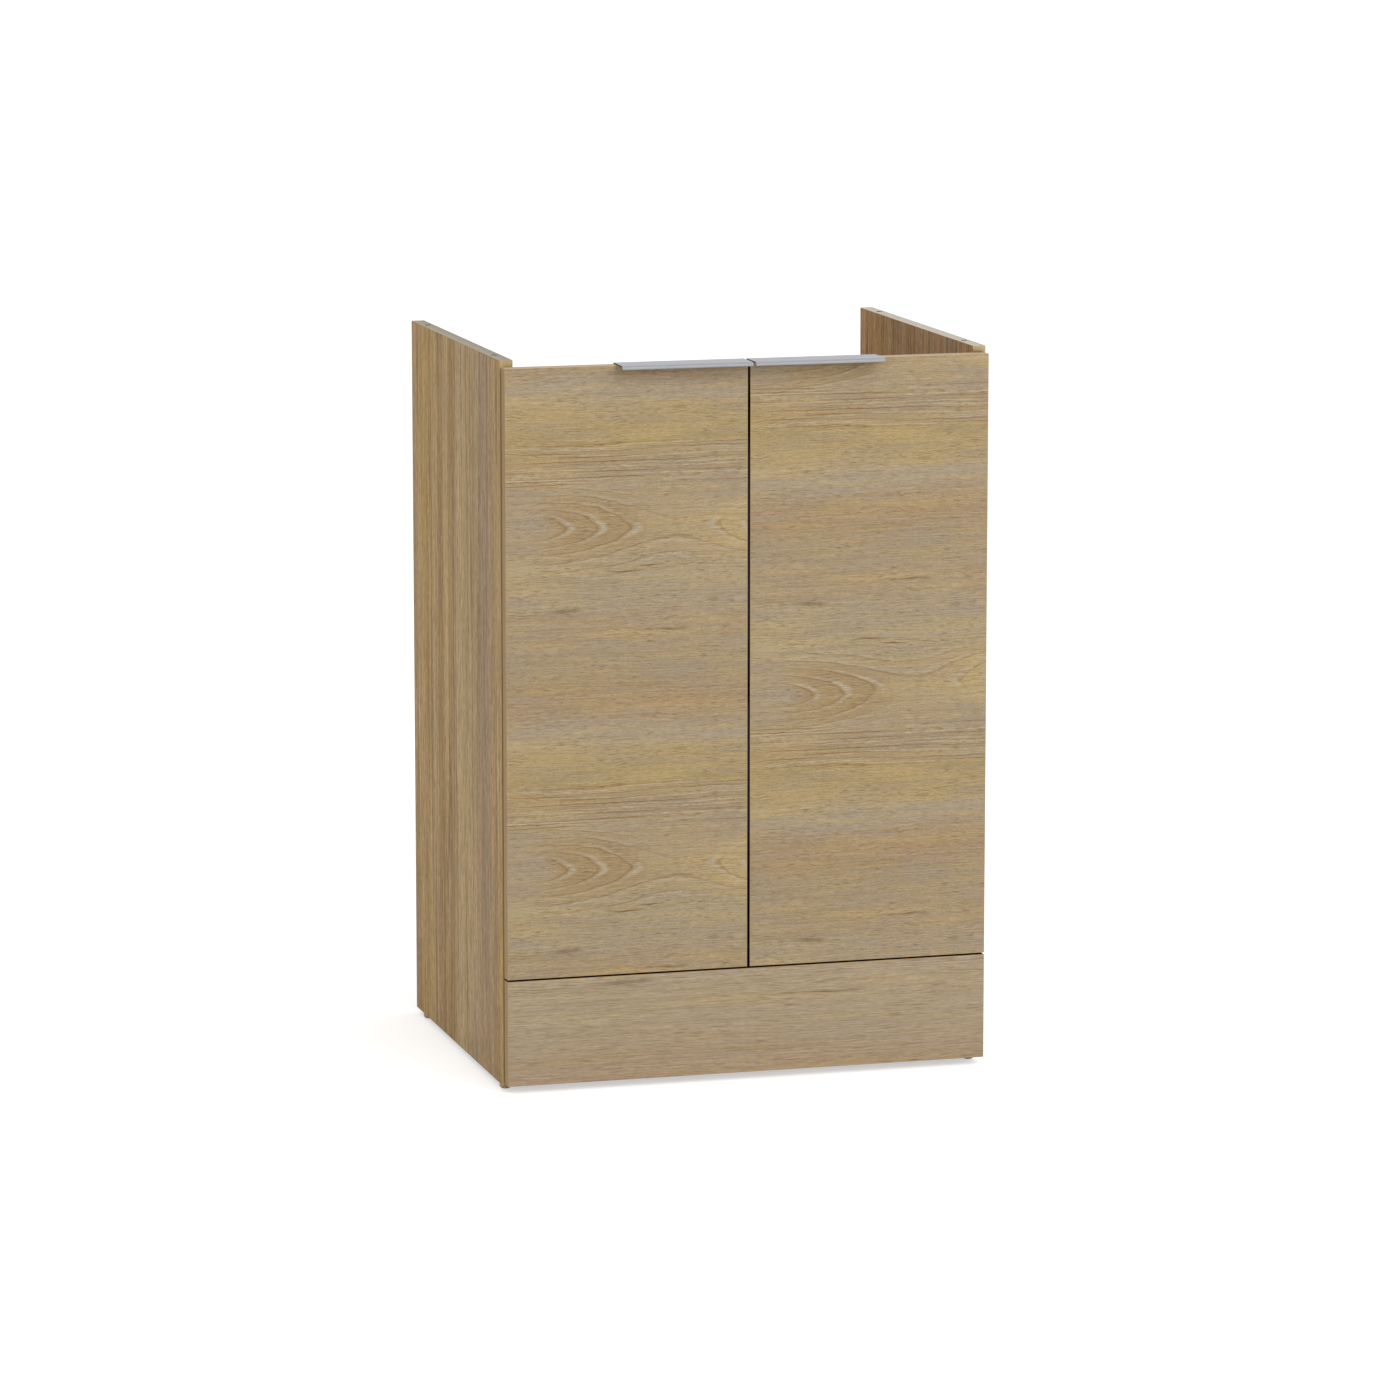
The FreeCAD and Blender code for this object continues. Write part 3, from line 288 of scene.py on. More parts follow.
def broad_tones(tree, sheet, paper):
    """The ramp of tones across the paper, then patches that lean to straw or to grey."""
    seam = paper["seam"]
    share = add(tree, "MapRange", {0: sheet.wrapped, 1: seam, 2: seam + ROLLER_REPEAT})
    toned = add(tree, "ValToRGB", {0: share})
    ramp = toned.node.color_ramp
    ramp.interpolation = "EASE"
    for stop, _ in paper["tones"][2:]:
        ramp.elements.new(stop)
    for element, (stop, tone) in zip(ramp.elements, sorted(paper["tones"])):
        element.position, element.color = stop, colour(tone)
    for number, (length, width, power, tints) in enumerate(paper["patches"]):
        lean = grain(tree, sheet.roller, length, width, detail=2.0, offset=7.0 + 2 * number)
        for limit, tint in zip(PATCH_LIMITS, tints):
            patch = add(tree, "MapRange", {0: lean, 1: PATCH_MIDDLE, 2: limit, 4: power})
            toned = add(tree, "Mix", {0: patch, 6: toned, 7: colour(tint)}, **COLOURS)
    return toned


print("patches start at noise", PATCH_MIDDLE, "and are full at", PATCH_LIMITS)

# %% [markdown]
# ### Rings
# The figure comes from a log that was cut along its growth rings: they show as long pointed
# ovals round a heart. Two hearts lie on the paper. The distance to each is measured on a
# stretched and slightly pointed oval, and the two are blended, so the outer rings run round
# both. Every ring is a thin dark line with a light one outside it.

# %% How far a point lies from the hearts
RING_SPACING = 8.6 * MM
RING_WAVE = (70 * MM, 9 * MM, 2.6 * MM)
HEARTS_BLEND = 38 * MM
# How pointed an oval's ends are, and its height across the grain as a share of its depth.
RING_POINT = 0.18
RING_HEIGHT = 1.25


def ring_depth(tree, sheet, hearts):
    """The distance out from the hearts, and the height over the last one's middle line."""
    depth = None
    for heart_along, heart_across, slender in hearts:
        around = add(tree, "Mapping", {
            "Vector": sheet.flat, "Location": (heart_along, 0, heart_across),
            "Scale": (slender, 1, RING_HEIGHT)}, vector_type="TEXTURE")
        distance = add(tree, "VectorMath", {0: around}, out="Value", operation="LENGTH")
        height = add(tree, "SeparateXYZ", {0: around}, out="Z")
        aside = add(tree, "Math", {0: height}, operation="ABSOLUTE")
        distance = add(tree, "Math", {0: aside, 1: RING_POINT, 2: distance},
                       operation="MULTIPLY_ADD")
        if depth is None:
            depth = distance
        else:
            depth = add(tree, "Math", {0: depth, 1: distance, 2: HEARTS_BLEND},
                        operation="SMOOTH_MIN")
    uneven = push(tree, sheet.roller, RING_WAVE, offset=11.0)
    return add(tree, "Math", {0: depth, 1: uneven}), height, aside


print("rings are", round(RING_SPACING / MM, 1), "mm apart")

# %% [markdown]
# The rings don't show everywhere: the heart itself is plain, the ovals fade outwards, the light
# lines are faint on the flanks, and between the hearts only the lines below the middle are seen.
# Each of these is a mask between 0 and 1, and the masks are multiplied.

# %% Where the rings show
# Distances out from the heart between which the heart ends, the warm eye ends and rings fade.
HEART_RIM = (8 * MM, 14 * MM)
EYE_RIM = (33 * MM, 44 * MM)
RINGS_FADE = (45 * MM, 62 * MM)
# Distances from the ovals' middle line between which they count as flanks or as upper lines.
FLANK = (3 * MM, 12 * MM)
UPPER_LINES = (2 * MM, 7 * MM)
# Distances along the grain, before the eye's start and before its end.
EYE_RISE = 45 * MM
EYE_FALL = 60 * MM
WAIST = (80 * MM, 40 * MM)
# Length and width of the patches in which the rings are fainter, and their range of noise.
RING_PATCHES = (60 * MM, 12 * MM)
RING_PATCH_NOISE = (0.36, 0.56)
# How much of the lines is left in such a patch and elsewhere, and how much the waist hides.
LEFT_IN_PATCH = 0.7
LEFT_OUTSIDE = 0.16
LEFT_ON_FLANK = 0.55
LEFT_BEFORE_EYE = 0.12
LEFT_BESIDE_EYE = 0.6
WAIST_HIDES = 0.8


def ring_masks(tree, sheet, paper, depth, height, aside):
    """How strongly the eye and its dark and light lines show, and what lies beside the eye."""
    along, start, end = sheet.along, paper["eye_start"], paper["eye_end"]
    patches = grain(tree, sheet.roller, *RING_PATCHES, detail=1.0, offset=13.0)
    patchy = add(tree, "MapRange", {0: patches, 1: RING_PATCH_NOISE[0], 2: RING_PATCH_NOISE[1],
                                    3: LEFT_IN_PATCH})
    heart = add(tree, "MapRange", {0: depth, 1: HEART_RIM[0], 2: HEART_RIM[1]}, **SOFT)
    inner = add(tree, "MapRange", {0: depth, 1: EYE_RIM[0], 2: EYE_RIM[1], 3: 1.0, 4: 0.0},
                **SOFT)
    outer = add(tree, "MapRange", {0: depth, 1: RINGS_FADE[0], 2: RINGS_FADE[1], 3: 1.0,
                                   4: LEFT_OUTSIDE})
    beside = add(tree, "MapRange", {0: along, 1: end - EYE_FALL, 2: end}, **SOFT)
    near_eye = add(tree, "MapRange", {0: beside, 3: 1.0, 4: LEFT_BESIDE_EYE})
    begun = add(tree, "MapRange", {0: along, 1: start - EYE_RISE, 2: start,
                                   3: LEFT_BEFORE_EYE}, **SOFT)
    above = add(tree, "MapRange", {0: height, 1: UPPER_LINES[0], 2: UPPER_LINES[1]})
    waist = add(tree, "MapRange", {0: along, 1: end - WAIST[0], 2: end - WAIST[1],
                                   4: WAIST_HIDES})
    hidden = add(tree, "Math", {0: above, 1: waist}, operation="MULTIPLY")
    seen = add(tree, "Math", {0: 1.0, 1: hidden}, operation="SUBTRACT")
    tip = add(tree, "MapRange", {0: aside, 1: FLANK[0], 2: FLANK[1], 3: 1.0, 4: LEFT_ON_FLANK},
              **SOFT)
    eye = fade = heart
    for mask in (inner, near_eye, begun):
        eye = add(tree, "Math", {0: eye, 1: mask}, operation="MULTIPLY")
    for mask in (outer, patchy, begun, seen):
        fade = add(tree, "Math", {0: fade, 1: mask}, operation="MULTIPLY")
    dark = add(tree, "Math", {0: fade, 1: near_eye}, operation="MULTIPLY")
    light = add(tree, "Math", {0: fade, 1: tip}, operation="MULTIPLY")
    return SimpleNamespace(eye=eye, beside=beside, dark=dark, light=light)


print("the warm eye reaches", round(EYE_RIM[1] / MM), "mm out from a heart")

# %% Paint the eyes and the rings
# The first ring starts this share of a ring's width further out, and its dark and its light line
# lie between these shares of the width.
RING_START = 0.1
DARK_LINE = (0.5, 0.7)
LIGHT_LINE = (0.62, 1.0)


def paint_rings(tree, sheet, paper, toned):
    """The warm eyes round the hearts, straw between them, and the lines of the rings."""
    depth, height, aside = ring_depth(tree, sheet, paper["hearts"])
    ring = add(tree, "Math", {0: depth, 1: 1 / RING_SPACING, 2: -RING_START},
               operation="MULTIPLY_ADD")
    ring = add(tree, "Math", {0: ring}, operation="FRACT")
    masks = ring_masks(tree, sheet, paper, depth, height, aside)
    eye, between = paper["eye_tones"]
    eye_tone = add(tree, "Mix", {0: masks.beside, 6: colour(eye), 7: colour(between)}, **COLOURS)
    eye_power = add(tree, "Math", {0: masks.eye, 1: paper["eye_power"]}, operation="MULTIPLY")
    toned = add(tree, "Mix", {0: eye_power, 6: toned, 7: eye_tone}, **COLOURS)
    for (start, end), mask, tint in ((DARK_LINE, masks.dark, paper["ring_dark"]),
                                     (LIGHT_LINE, masks.light, paper["ring_light"])):
        middle = (start + end) / 2
        rise = add(tree, "MapRange", {0: ring, 1: start, 2: middle}, **SOFT)
        fall = add(tree, "MapRange", {0: ring, 1: middle, 2: end, 3: 1.0, 4: 0.0}, **SOFT)
        line = add(tree, "Math", {0: rise, 1: fall}, operation="MULTIPLY")
        line = add(tree, "Math", {0: line, 1: mask}, operation="MULTIPLY")
        toned = add(tree, "Mix", {0: line, 6: toned, 7: colour(tint)}, **COLOURS)
    return toned


print("a light line takes", round((LIGHT_LINE[1] - LIGHT_LINE[0]) * RING_SPACING / MM, 1), "mm")

# %% [markdown]
# ### Veins, growth lines and pores
# Long wavy veins, reddish or pale, crowd in one band and are rare elsewhere. Fine lines of
# growth cover the whole board. The pores of oak are short dark dashes, in crowds. They are a
# fifth of a millimetre wide, which is too fine for the picture, so lines and dashes are drawn
# three to five times as wide.

# %% Veins and growth lines
VEIN_SIZE = (220 * MM, 1.8 * MM)
VEIN_NOISE = (0.56, 0.69)
VEIN_OFFSETS = (15.0, 16.5)
VEIN_BAND_RISE = 14 * MM
VEIN_BAND_FALL = 10 * MM
VEINS_ELSEWHERE = 0.25
# Length, width, detail, noise range and brightness range of each kind of line.
GRAIN_LINES = (
    (90 * MM, 1.5 * MM, 2.0, NOISE, (0.92, 1.07)),
    (20 * MM, 1.1 * MM, 1.0, NOISE, (0.915, 1.075)),
    (3.5 * MM, 1.0 * MM, 0.0, (0.25, 0.75), (0.905, 1.08)))


def paint_veins(tree, sheet, paper, toned):
    """Veins, thick together in the paper's vein band."""
    low, high = paper["vein_band"]
    inside = add(tree, "MapRange", {0: sheet.wrapped, 1: low - VEIN_BAND_RISE, 2: low}, **SOFT)
    beyond = add(tree, "MapRange", {0: sheet.wrapped, 1: high, 2: high + VEIN_BAND_FALL, 3: 1.0,
                                    4: 0.0}, **SOFT)
    zone = add(tree, "Math", {0: inside, 1: beyond}, operation="MULTIPLY")
    zone = add(tree, "MapRange", {0: zone, 3: VEINS_ELSEWHERE})
    length, width = VEIN_SIZE
    for offset, tint, power in zip(VEIN_OFFSETS, paper["veins"], paper["vein_powers"]):
        noise = grain(tree, sheet.roller, length, width * paper["coarse"], detail=1.0,
                      offset=offset)
        vein = add(tree, "MapRange", {0: noise, 1: VEIN_NOISE[0], 2: VEIN_NOISE[1], 4: power})
        vein = add(tree, "Math", {0: vein, 1: zone}, operation="MULTIPLY")
        toned = add(tree, "Mix", {0: vein, 6: toned, 7: colour(tint)}, **COLOURS)
    return toned


def paint_growth_lines(tree, sheet, paper, toned):
    """Fine lines that are a little darker or brighter than the ground."""
    force = paper["force"]
    for number, (length, width, detail, noise, bright) in enumerate(GRAIN_LINES):
        fine = grain(tree, sheet.roller, length, width * paper["coarse"], detail,
                     offset=17.0 + number)
        streak = add(tree, "MapRange", {
            0: fine, 1: noise[0], 2: noise[1], 3: 1 - (1 - bright[0]) * force,
            4: 1 + (bright[1] - 1) * force})
        toned = add(tree, "Mix", {0: 1.0, 6: toned, 7: streak}, **COLOURS, blend_type="MULTIPLY")
    return toned


print("kinds of growth lines:", len(GRAIN_LINES))

# %% Pores and single marks
PORE_SIZE = (10 * MM, 0.75 * MM)
PORE_NOISE = (0.54, 0.76)
PORE_POWER = 0.5
CROWD_SIZE = (60 * MM, 14 * MM)
CROWD_NOISE = (0.3, 0.65)
PORES_ELSEWHERE = 0.5


def pores_of(tree, sheet, paper):
    """How dark each point is with pores, and with the paper's few single marks."""
    length, width = PORE_SIZE
    noise = grain(tree, sheet.roller, length, width * paper["coarse"], detail=0.0, offset=23.0)
    pore = add(tree, "MapRange", {0: noise, 1: PORE_NOISE[0], 2: PORE_NOISE[1], 4: PORE_POWER})
    noise = grain(tree, sheet.roller, *CROWD_SIZE, detail=1.0, offset=25.0)
    crowd = add(tree, "MapRange", {0: noise, 1: CROWD_NOISE[0], 2: CROWD_NOISE[1],
                                   3: PORES_ELSEWHERE})
    pore = add(tree, "Math", {0: pore, 1: crowd}, operation="MULTIPLY")
    for mark_along, mark_across, length, width, power in paper["marks"]:
        near = add(tree, "Mapping", {
            "Vector": sheet.flat, "Location": (mark_along, 0, mark_across),
            "Scale": (length, 1, width)}, vector_type="TEXTURE")
        spot = add(tree, "TexGradient", {0: near}, out="Fac", gradient_type="SPHERICAL")
        pore = add(tree, "Math", {0: spot, 1: power, 2: pore}, operation="MULTIPLY_ADD",
                   use_clamp=True)
    return pore


print("pores drawn", PORE_SIZE[1] / MM, "mm wide")

# %% [markdown]
# ### The finished decor
# Melamine is pressed on the paper with a matt plate: it is hard and closed, with hardly any
# sheen, and the plate leaves the pores a little deeper and duller than the rest. So the pores
# also drive a slight relief and the roughness.

# %% Oak decor
RESIN_IOR = 1.5
DECOR_SHEEN_LEVEL = 0.02
DECOR_ROUGHNESS = (0.52, 0.7)
PORE_DEPTH = 0.05 * MM
PORE_RELIEF = 0.25


def oak_decor(name, axes, paper, flip=1.0, shift=(0, 0), stretch=1.0):
    """Oak paper laid on one board.

    axes names the grain's and the cross direction, paper holds the print's own facts, and flip,
    shift and stretch place it on the board.
    """
    material, tree = new_material(name)
    sheet = lay_paper(tree, axes, paper, flip, shift, stretch)
    toned = broad_tones(tree, sheet, paper)
    toned = paint_rings(tree, sheet, paper, toned)
    toned = paint_veins(tree, sheet, paper, toned)
    toned = paint_growth_lines(tree, sheet, paper, toned)
    pore = pores_of(tree, sheet, paper)
    toned = add(tree, "Mix", {0: pore, 6: toned, 7: colour(paper["pore"])}, **COLOURS)
    relief = add(tree, "Bump", {"Strength": PORE_RELIEF, "Distance": PORE_DEPTH, "Height": pore},
                 out="Normal", invert=True)
    rough = add(tree, "MapRange", {0: pore, 3: DECOR_ROUGHNESS[0], 4: DECOR_ROUGHNESS[1]})
    shader = add(tree, "BsdfPrincipled", {
        "Base Color": toned, "Roughness": rough, "IOR": RESIN_IOR,
        "Specular IOR Level": DECOR_SHEEN_LEVEL, "Normal": relief})
    add(tree, "OutputMaterial", {"Surface": shader})
    return material


print("melamine's optical index:", RESIN_IOR)

# %% [markdown]
# ### Paper on the fronts
# The doors and the plinth have level grain. Both doors are cut from the same print, the right one
# with the paper turned over, so its figure appears upside down and further on.
#
# Each print is a table of facts. Its seam is where a turn of the roller begins. A tone has its
# share of the turn, and a patch its length, width, power and the two tints that it leans to. A
# heart has its place along and across, and how drawn out its ovals are. The eye is warm round the
# hearts, from its start to its end along the grain, and has a second tone beside them. Coarse and
# force say how much wider and stronger the fine lines are drawn.

# %% The paper on the doors and the plinth
STRAW_OR_GREY = ("#B89E6C", "#9F9183")


def front_patches(power):
    """A coarse and a fine layer of patches that lean to straw or to grey."""
    return [(230 * MM, 24 * MM, power, STRAW_OR_GREY), (110 * MM, 9 * MM, power, STRAW_OR_GREY)]


front_paper = {
    "seam": 474 * MM,
    "tones": [(0.0, "#A48D6F"), (1.0, "#A48D6F"), (0.1, "#A29177"), (0.2, "#A69275"),
              (0.29, "#A8977C"), (0.36, "#AD9B79"), (0.5, "#A8967C"), (0.62, "#A8967A"),
              (0.7, "#A49070"), (0.76, "#A8946B"), (0.82, "#AC9872"), (0.89, "#AB9B81")],
    "patches": front_patches(0.36),
    "hearts": [(-292 * MM, 679 * MM, 4.6), (97 * MM, 679 * MM, 4.2)],
    "eye_tones": ("#A58D67", "#BEA773"), "eye_power": 0.8,
    "eye_start": -228 * MM, "eye_end": -90 * MM,
    "ring_dark": "#957C59", "ring_light": "#B6A78F",
    "vein_band": (738 * MM, 778 * MM), "veins": ("#86623F", "#C0AE91"),
    "vein_powers": (0.9, 0.7),
    "pore": "#6A5034",
    # Place along and across, length and width in mm, and darkness of each single mark.
    "marks": [(x * MM, z * MM, length * MM, width * MM, power) for x, z, length, width, power in (
        (-122, 634.5, 22, 1.3, 1.0), (-81, 631.5, 11, 1.1, 0.8), (-152, 628.5, 27, 1.5, 1.0),
        (-165, 613.5, 9, 1.1, 0.9), (-230, 584, 24, 2.6, 0.6), (-213, 584.5, 10, 3.5, 0.4),
        (-45, 588, 12, 3.0, 0.3), (-156, 573, 22, 1.1, 0.4), (-99, 556.5, 32, 1.5, 0.7),
        (-84, 819, 13, 3.0, 0.35), (-56, 523, 9, 1.2, 0.6), (-167, 818, 9, 1.2, 0.4))],
    "coarse": 1.0, "force": 1.0,
}
# The right door's hearts lie a few millimetres off, as in another run of the same print.
right_paper = dict(front_paper, hearts=[(-292 * MM, 690 * MM, 4.6), (97 * MM, 682 * MM, 4.2)])
plinth_paper = dict(front_paper, patches=front_patches(0.22), tones=[
    (0.0, "#AA957C"), (1.0, "#AA957C"), (0.1, "#AA9981"), (0.2, "#AC9B80"), (0.29, "#AE9D84")])

decor_left_door = oak_decor("oak_decor_left_door", (0, 2), front_paper)
decor_right_door = oak_decor("oak_decor_right_door", (0, 2), right_paper, flip=-1.0,
                             shift=(-303 * MM, 1160 * MM))
decor_plinth = oak_decor("oak_decor_plinth", (0, 2), plinth_paper,
                         shift=(-148.5 * MM, 452 * MM), stretch=2.0)
print("marks on the fronts' paper:", len(front_paper["marks"]))

# %% [markdown]
# ### Paper on the sides and inside
# The sides have upright grain from a plainer and coarser part of the print, which is drawn out
# along the board. The hidden boards take the fronts' paper, level from side to side.

# %% The paper on the sides and inside
SIDE_STRETCH = 2.2
INNER_STRETCH = 1.4

side_paper = {
    "seam": -165 * MM,
    # The tones are lighter than the fronts': partly the print's own, partly painted light that
    # makes up for the less light on the sides.
    "tones": [(0.0, "#BA9D7A"), (1.0, "#BA9D7A"), (0.2, "#BEA37E"), (0.4, "#CCB28A"),
              (0.55, "#D1B37D"), (0.7, "#CDAD79"), (0.85, "#C7A463")],
    "patches": [(500 * MM, 34 * MM, 0.7, ("#C2A56B", "#A7907A")),
                (200 * MM, 10 * MM, 0.7, ("#CAAD85", "#977956"))],
    "hearts": [(300 * MM, 75 * MM, 14.0), (560 * MM, 62 * MM, 16.0)],
    "eye_tones": ("#A07B4E", "#A07B4E"), "eye_power": 0.5,
    "eye_start": -500 * MM, "eye_end": 900 * MM,
    "ring_dark": "#8F6B45", "ring_light": "#B9A384",
    "vein_band": (105 * MM, 170 * MM), "veins": ("#86603C", "#C2A87E"),
    "vein_powers": (0.75, 0.6),
    "pore": "#6A4E33",
    "marks": [(210 * MM, -33 * MM, 60 * MM, 2.4 * MM, 0.7),
              (150 * MM, 58 * MM, 60 * MM, 9 * MM, 0.35)],
    "coarse": 2.0, "force": 1.8,
}
# Painted shade: the right side's copy of the paper is browner and darker, for its inner face in
# the cabinet's shade.
side_paper_in_shade = dict(side_paper, tones=[
    (0.0, "#BF956E"), (1.0, "#BF956E"), (0.2, "#C19871"), (0.4, "#C49C75"), (0.55, "#BF9360"),
    (0.7, "#BF9160"), (0.85, "#C2955A")])
inner_paper = dict(front_paper, marks=front_paper["marks"][:4])

decor_left_side = oak_decor("oak_decor_left_side", (2, 1), side_paper, stretch=SIDE_STRETCH)
decor_right_side = oak_decor("oak_decor_right_side", (2, 1), side_paper_in_shade, stretch=SIDE_STRETCH)
decor_inside = oak_decor("oak_decor_inside", (0, 1), inner_paper, stretch=INNER_STRETCH)
decor_rails = oak_decor("oak_decor_rails", (0, 2), inner_paper, stretch=INNER_STRETCH)
print("seven decors from six papers")

# %% [markdown]
# ## Edge bands and board core
# The boards' narrow faces are closed with a thin plastic band in the tone of the decor. Where a
# board is drilled, the pressed chips of its core show. A narrow joint or a drilled hole looks
# black to the eye. The even light of this scene would fill it, so both materials carry painted
# shade: they turn dark where other faces close in on them.

# %% Edge band
# Painted shade in joints and holes: how far it looks for faces that close in, and with how many
# rays.
JOINT_DEPTH = 12 * MM
JOINT_SAMPLES = 8
BAND_GRAIN = 2.6 * MM
BAND_GRAIN_STRETCH = 40


def paint_shade_in_joints(tree, tone, joint, openness):
    """Paints shade: turns a tone to the given shade tone where less of the sky is open than the
    given shares.
    """
    open_air = add(tree, "AmbientOcclusion", {"Distance": JOINT_DEPTH}, out="AO",
                   samples=JOINT_SAMPLES)
    open_air = add(tree, "MapRange", {0: open_air, 1: openness[0], 2: openness[1]})
    return add(tree, "Mix", {0: open_air, 6: colour(joint), 7: tone}, **COLOURS)


def edge_band_material(name, thin_axis, dark, light, joint="#060403", openness=(0.35, 0.75)):
    """A dull plastic band whose printed grain runs along the board's edge, with painted shade in
    joints.
    """
    material, tree = new_material(name)
    place = add(tree, "TexCoord", out="Object")
    long_grain = [1 / BAND_GRAIN_STRETCH] * 3
    long_grain[thin_axis] = 1.0
    drawn = add(tree, "Mapping", {"Vector": place, "Scale": long_grain})
    fine = add(tree, "TexNoise", {"Vector": drawn, "Scale": 1 / BAND_GRAIN, "Detail": 2.0})
    fine = add(tree, "MapRange", {0: fine, 1: NOISE[0], 2: NOISE[1]})
    tone = add(tree, "Mix", {0: fine, 6: colour(dark), 7: colour(light)}, **COLOURS)
    tone = paint_shade_in_joints(tree, tone, joint, openness)
    shader = add(tree, "BsdfPrincipled", {
        "Base Color": tone, "Roughness": 0.6, "IOR": RESIN_IOR, "Specular IOR Level": 0.1})
    add(tree, "OutputMaterial", {"Surface": shader})
    return material


# By the axis of the board's thickness: sides, fronts and level boards.
edge_bands = [
    # The sides' band takes a browner painted shade in the joint beside the doors.
    edge_band_material("edge_band_sides", 0, "#AE9467", "#BFA67A", "#1A120C", (0.2, 0.6)),
    edge_band_material("edge_band_fronts", 1, "#A3845F", "#B7976F"),
    edge_band_material("edge_band_level_boards", 2, "#A08768", "#B5997A"),
]
pale_band = edge_band_material("edge_band_right_side", 0, "#B59C76", "#C6AE8A")
# Painted light: the doors' top edges take a lighter cream band, for the light that falls on them
# from above.
door_top_painted_light = edge_band_material("top_edge_doors_painted_light", 1, "#BCA786", "#CFBA9C")
print("edge bands:", len(edge_bands) + 2)

# %% [markdown]
# The sides' top edges face the sky and show more. Their band has the print's stripes side by
# side across the board's 16 mm, which a colour ramp over X gives. X is wrapped by the distance
# between the sides, so that one ramp serves either side. The two edges are lit and shaded copies
# of one band: the right one is painted much lighter than the left one, as painted light.

# %% Top edges of the sides
BOARD_THICKNESS = 16 * MM
SIDES_APART = cad_high[0] - cad_low[0] - BOARD_THICKNESS
STRIPE_WAVE = 4 * MM
STRIPE_STRETCH = 50
FIRST_STRIPE = cad_low[0] + STRIPE_WAVE / 2


def top_edge_material(name, stripes):
    """A plastic band in long stripes, which waver a little."""
    material, tree = new_material(name)
    place = add(tree, "TexCoord", out="Object")
    x = add(tree, "SeparateXYZ", {0: place}, out="X")
    spread = add(tree, "Mapping", {
        "Vector": place, "Scale": (1, 1 / STRIPE_STRETCH, 1 / STRIPE_STRETCH)})
    wavy = add(tree, "TexNoise", {"Vector": spread, "Scale": 1 / STRIPE_WAVE, "Detail": 2.0})
    x = add(tree, "Math", {0: wavy, 1: STRIPE_WAVE, 2: x}, operation="MULTIPLY_ADD")
    share = add(tree, "Math", {0: x, 1: FIRST_STRIPE + SIDES_APART, 2: FIRST_STRIPE},
                operation="WRAP")
    share = add(tree, "MapRange", {0: share, 1: FIRST_STRIPE, 2: FIRST_STRIPE + BOARD_THICKNESS})
    toned = add(tree, "ValToRGB", {0: share})
    ramp = toned.node.color_ramp
    for stop, _ in stripes[1:-1]:
        ramp.elements.new(stop)
    for element, (stop, tone) in zip(ramp.elements, stripes):
        element.position, element.color = stop, colour(tone)
    shader = add(tree, "BsdfPrincipled", {
        "Base Color": toned, "Roughness": 0.5, "IOR": RESIN_IOR,
        "Specular IOR Level": DECOR_SHEEN_LEVEL})
    add(tree, "OutputMaterial", {"Surface": shader})
    return material


# Painted light and shade: the right top edge is painted much lighter than the left one.
top_edges = {
    "left_side_panel": top_edge_material("top_edge_left", [
        (0.05, "#BCA98C"), (0.3, "#ADA597"), (0.75, "#A39D90"), (0.95, "#A89D89")]),
    "right_side_panel": top_edge_material("top_edge_right", [
        (0.05, "#E2CDB0"), (0.3, "#D3C9BE"), (0.75, "#CCC6BF"), (0.95, "#BDB7B0")]),
    "left_door": door_top_painted_light,
    "right_door": door_top_painted_light,
}
print("from side to side:", round(SIDES_APART / MM), "mm")

# %% Chipboard core
# Pressed and glued wood chips, a few millimetres long: rough, dry and speckled.
CHIP_SIZE = 2.2 * MM
chipboard, tree = new_material("chipboard_core")
place = add(tree, "TexCoord", out="Object")
chips = add(tree, "TexVoronoi", {"Vector": place, "Scale": 1 / CHIP_SIZE}, out="Color")
chip_tone = add(tree, "SeparateColor", {0: chips})
tone = add(tree, "Mix", {0: chip_tone, 6: colour("#8F744F"), 7: colour("#C6A878")}, **COLOURS)
# Painted shade: the chips turn dark deep in the drilled holes.
tone = paint_shade_in_joints(tree, tone, "#1E1813", (0.5, 0.9))
shader = add(tree, "BsdfPrincipled", {"Base Color": tone, "Roughness": 0.85, "IOR": RESIN_IOR})
add(tree, "OutputMaterial", {"Surface": shader})
print("chips are", round(CHIP_SIZE / MM, 1), "mm wide")

# %% [markdown]
# ## Boards
# Each board is a copy of its CAD solid. The solid's loose triangles are merged and flat areas
# joined, then the outer edges are picked by their place and rounded as a trimmed edge band is.
# A box could be drawn anew, but the copy keeps every drilled hole in its place.

# %% Copy a solid
NEAR = 0.01 * MM
FLAT_ANGLE = math.radians(0.5)
SMOOTH_ANGLE = math.radians(35)
LARGEST_WEIGHT = 100


def copy_of(node, name):
    """A merged copy of a CAD solid with its own mesh, active and selected."""
    bpy.ops.object.select_all(action="DESELECT")
    piece = bpy.data.objects.new(name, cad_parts[node].data.copy())
    bpy.context.collection.objects.link(piece)
    piece.data.materials.clear()
    piece.select_set(True)
    bpy.context.view_layer.objects.active = piece
    bpy.ops.object.mode_set(mode="EDIT")
    bpy.ops.mesh.select_all(action="SELECT")
    bpy.ops.mesh.remove_doubles(threshold=NEAR / 10)
    bpy.ops.mesh.dissolve_limited(angle_limit=FLAT_ANGLE)
    bpy.ops.mesh.select_all(action="DESELECT")
    bpy.ops.object.mode_set(mode="OBJECT")
    return piece


def shade(piece):
    """Shades bevels smoothly and leaves the large faces flat, since their normals weigh most."""
    bpy.ops.object.shade_smooth_by_angle(angle=SMOOTH_ANGLE)
    weighed = piece.modifiers.new("weighed_normals", "WEIGHTED_NORMAL")
    weighed.weight, weighed.keep_sharp = LARGEST_WEIGHT, True
    bpy.ops.object.modifier_apply(modifier=weighed.name)


def hand_over(piece, node, body):
    """Says which body the piece rides on and which solid it replaces."""
    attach(piece, body)
    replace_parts(piece, node)
    return piece


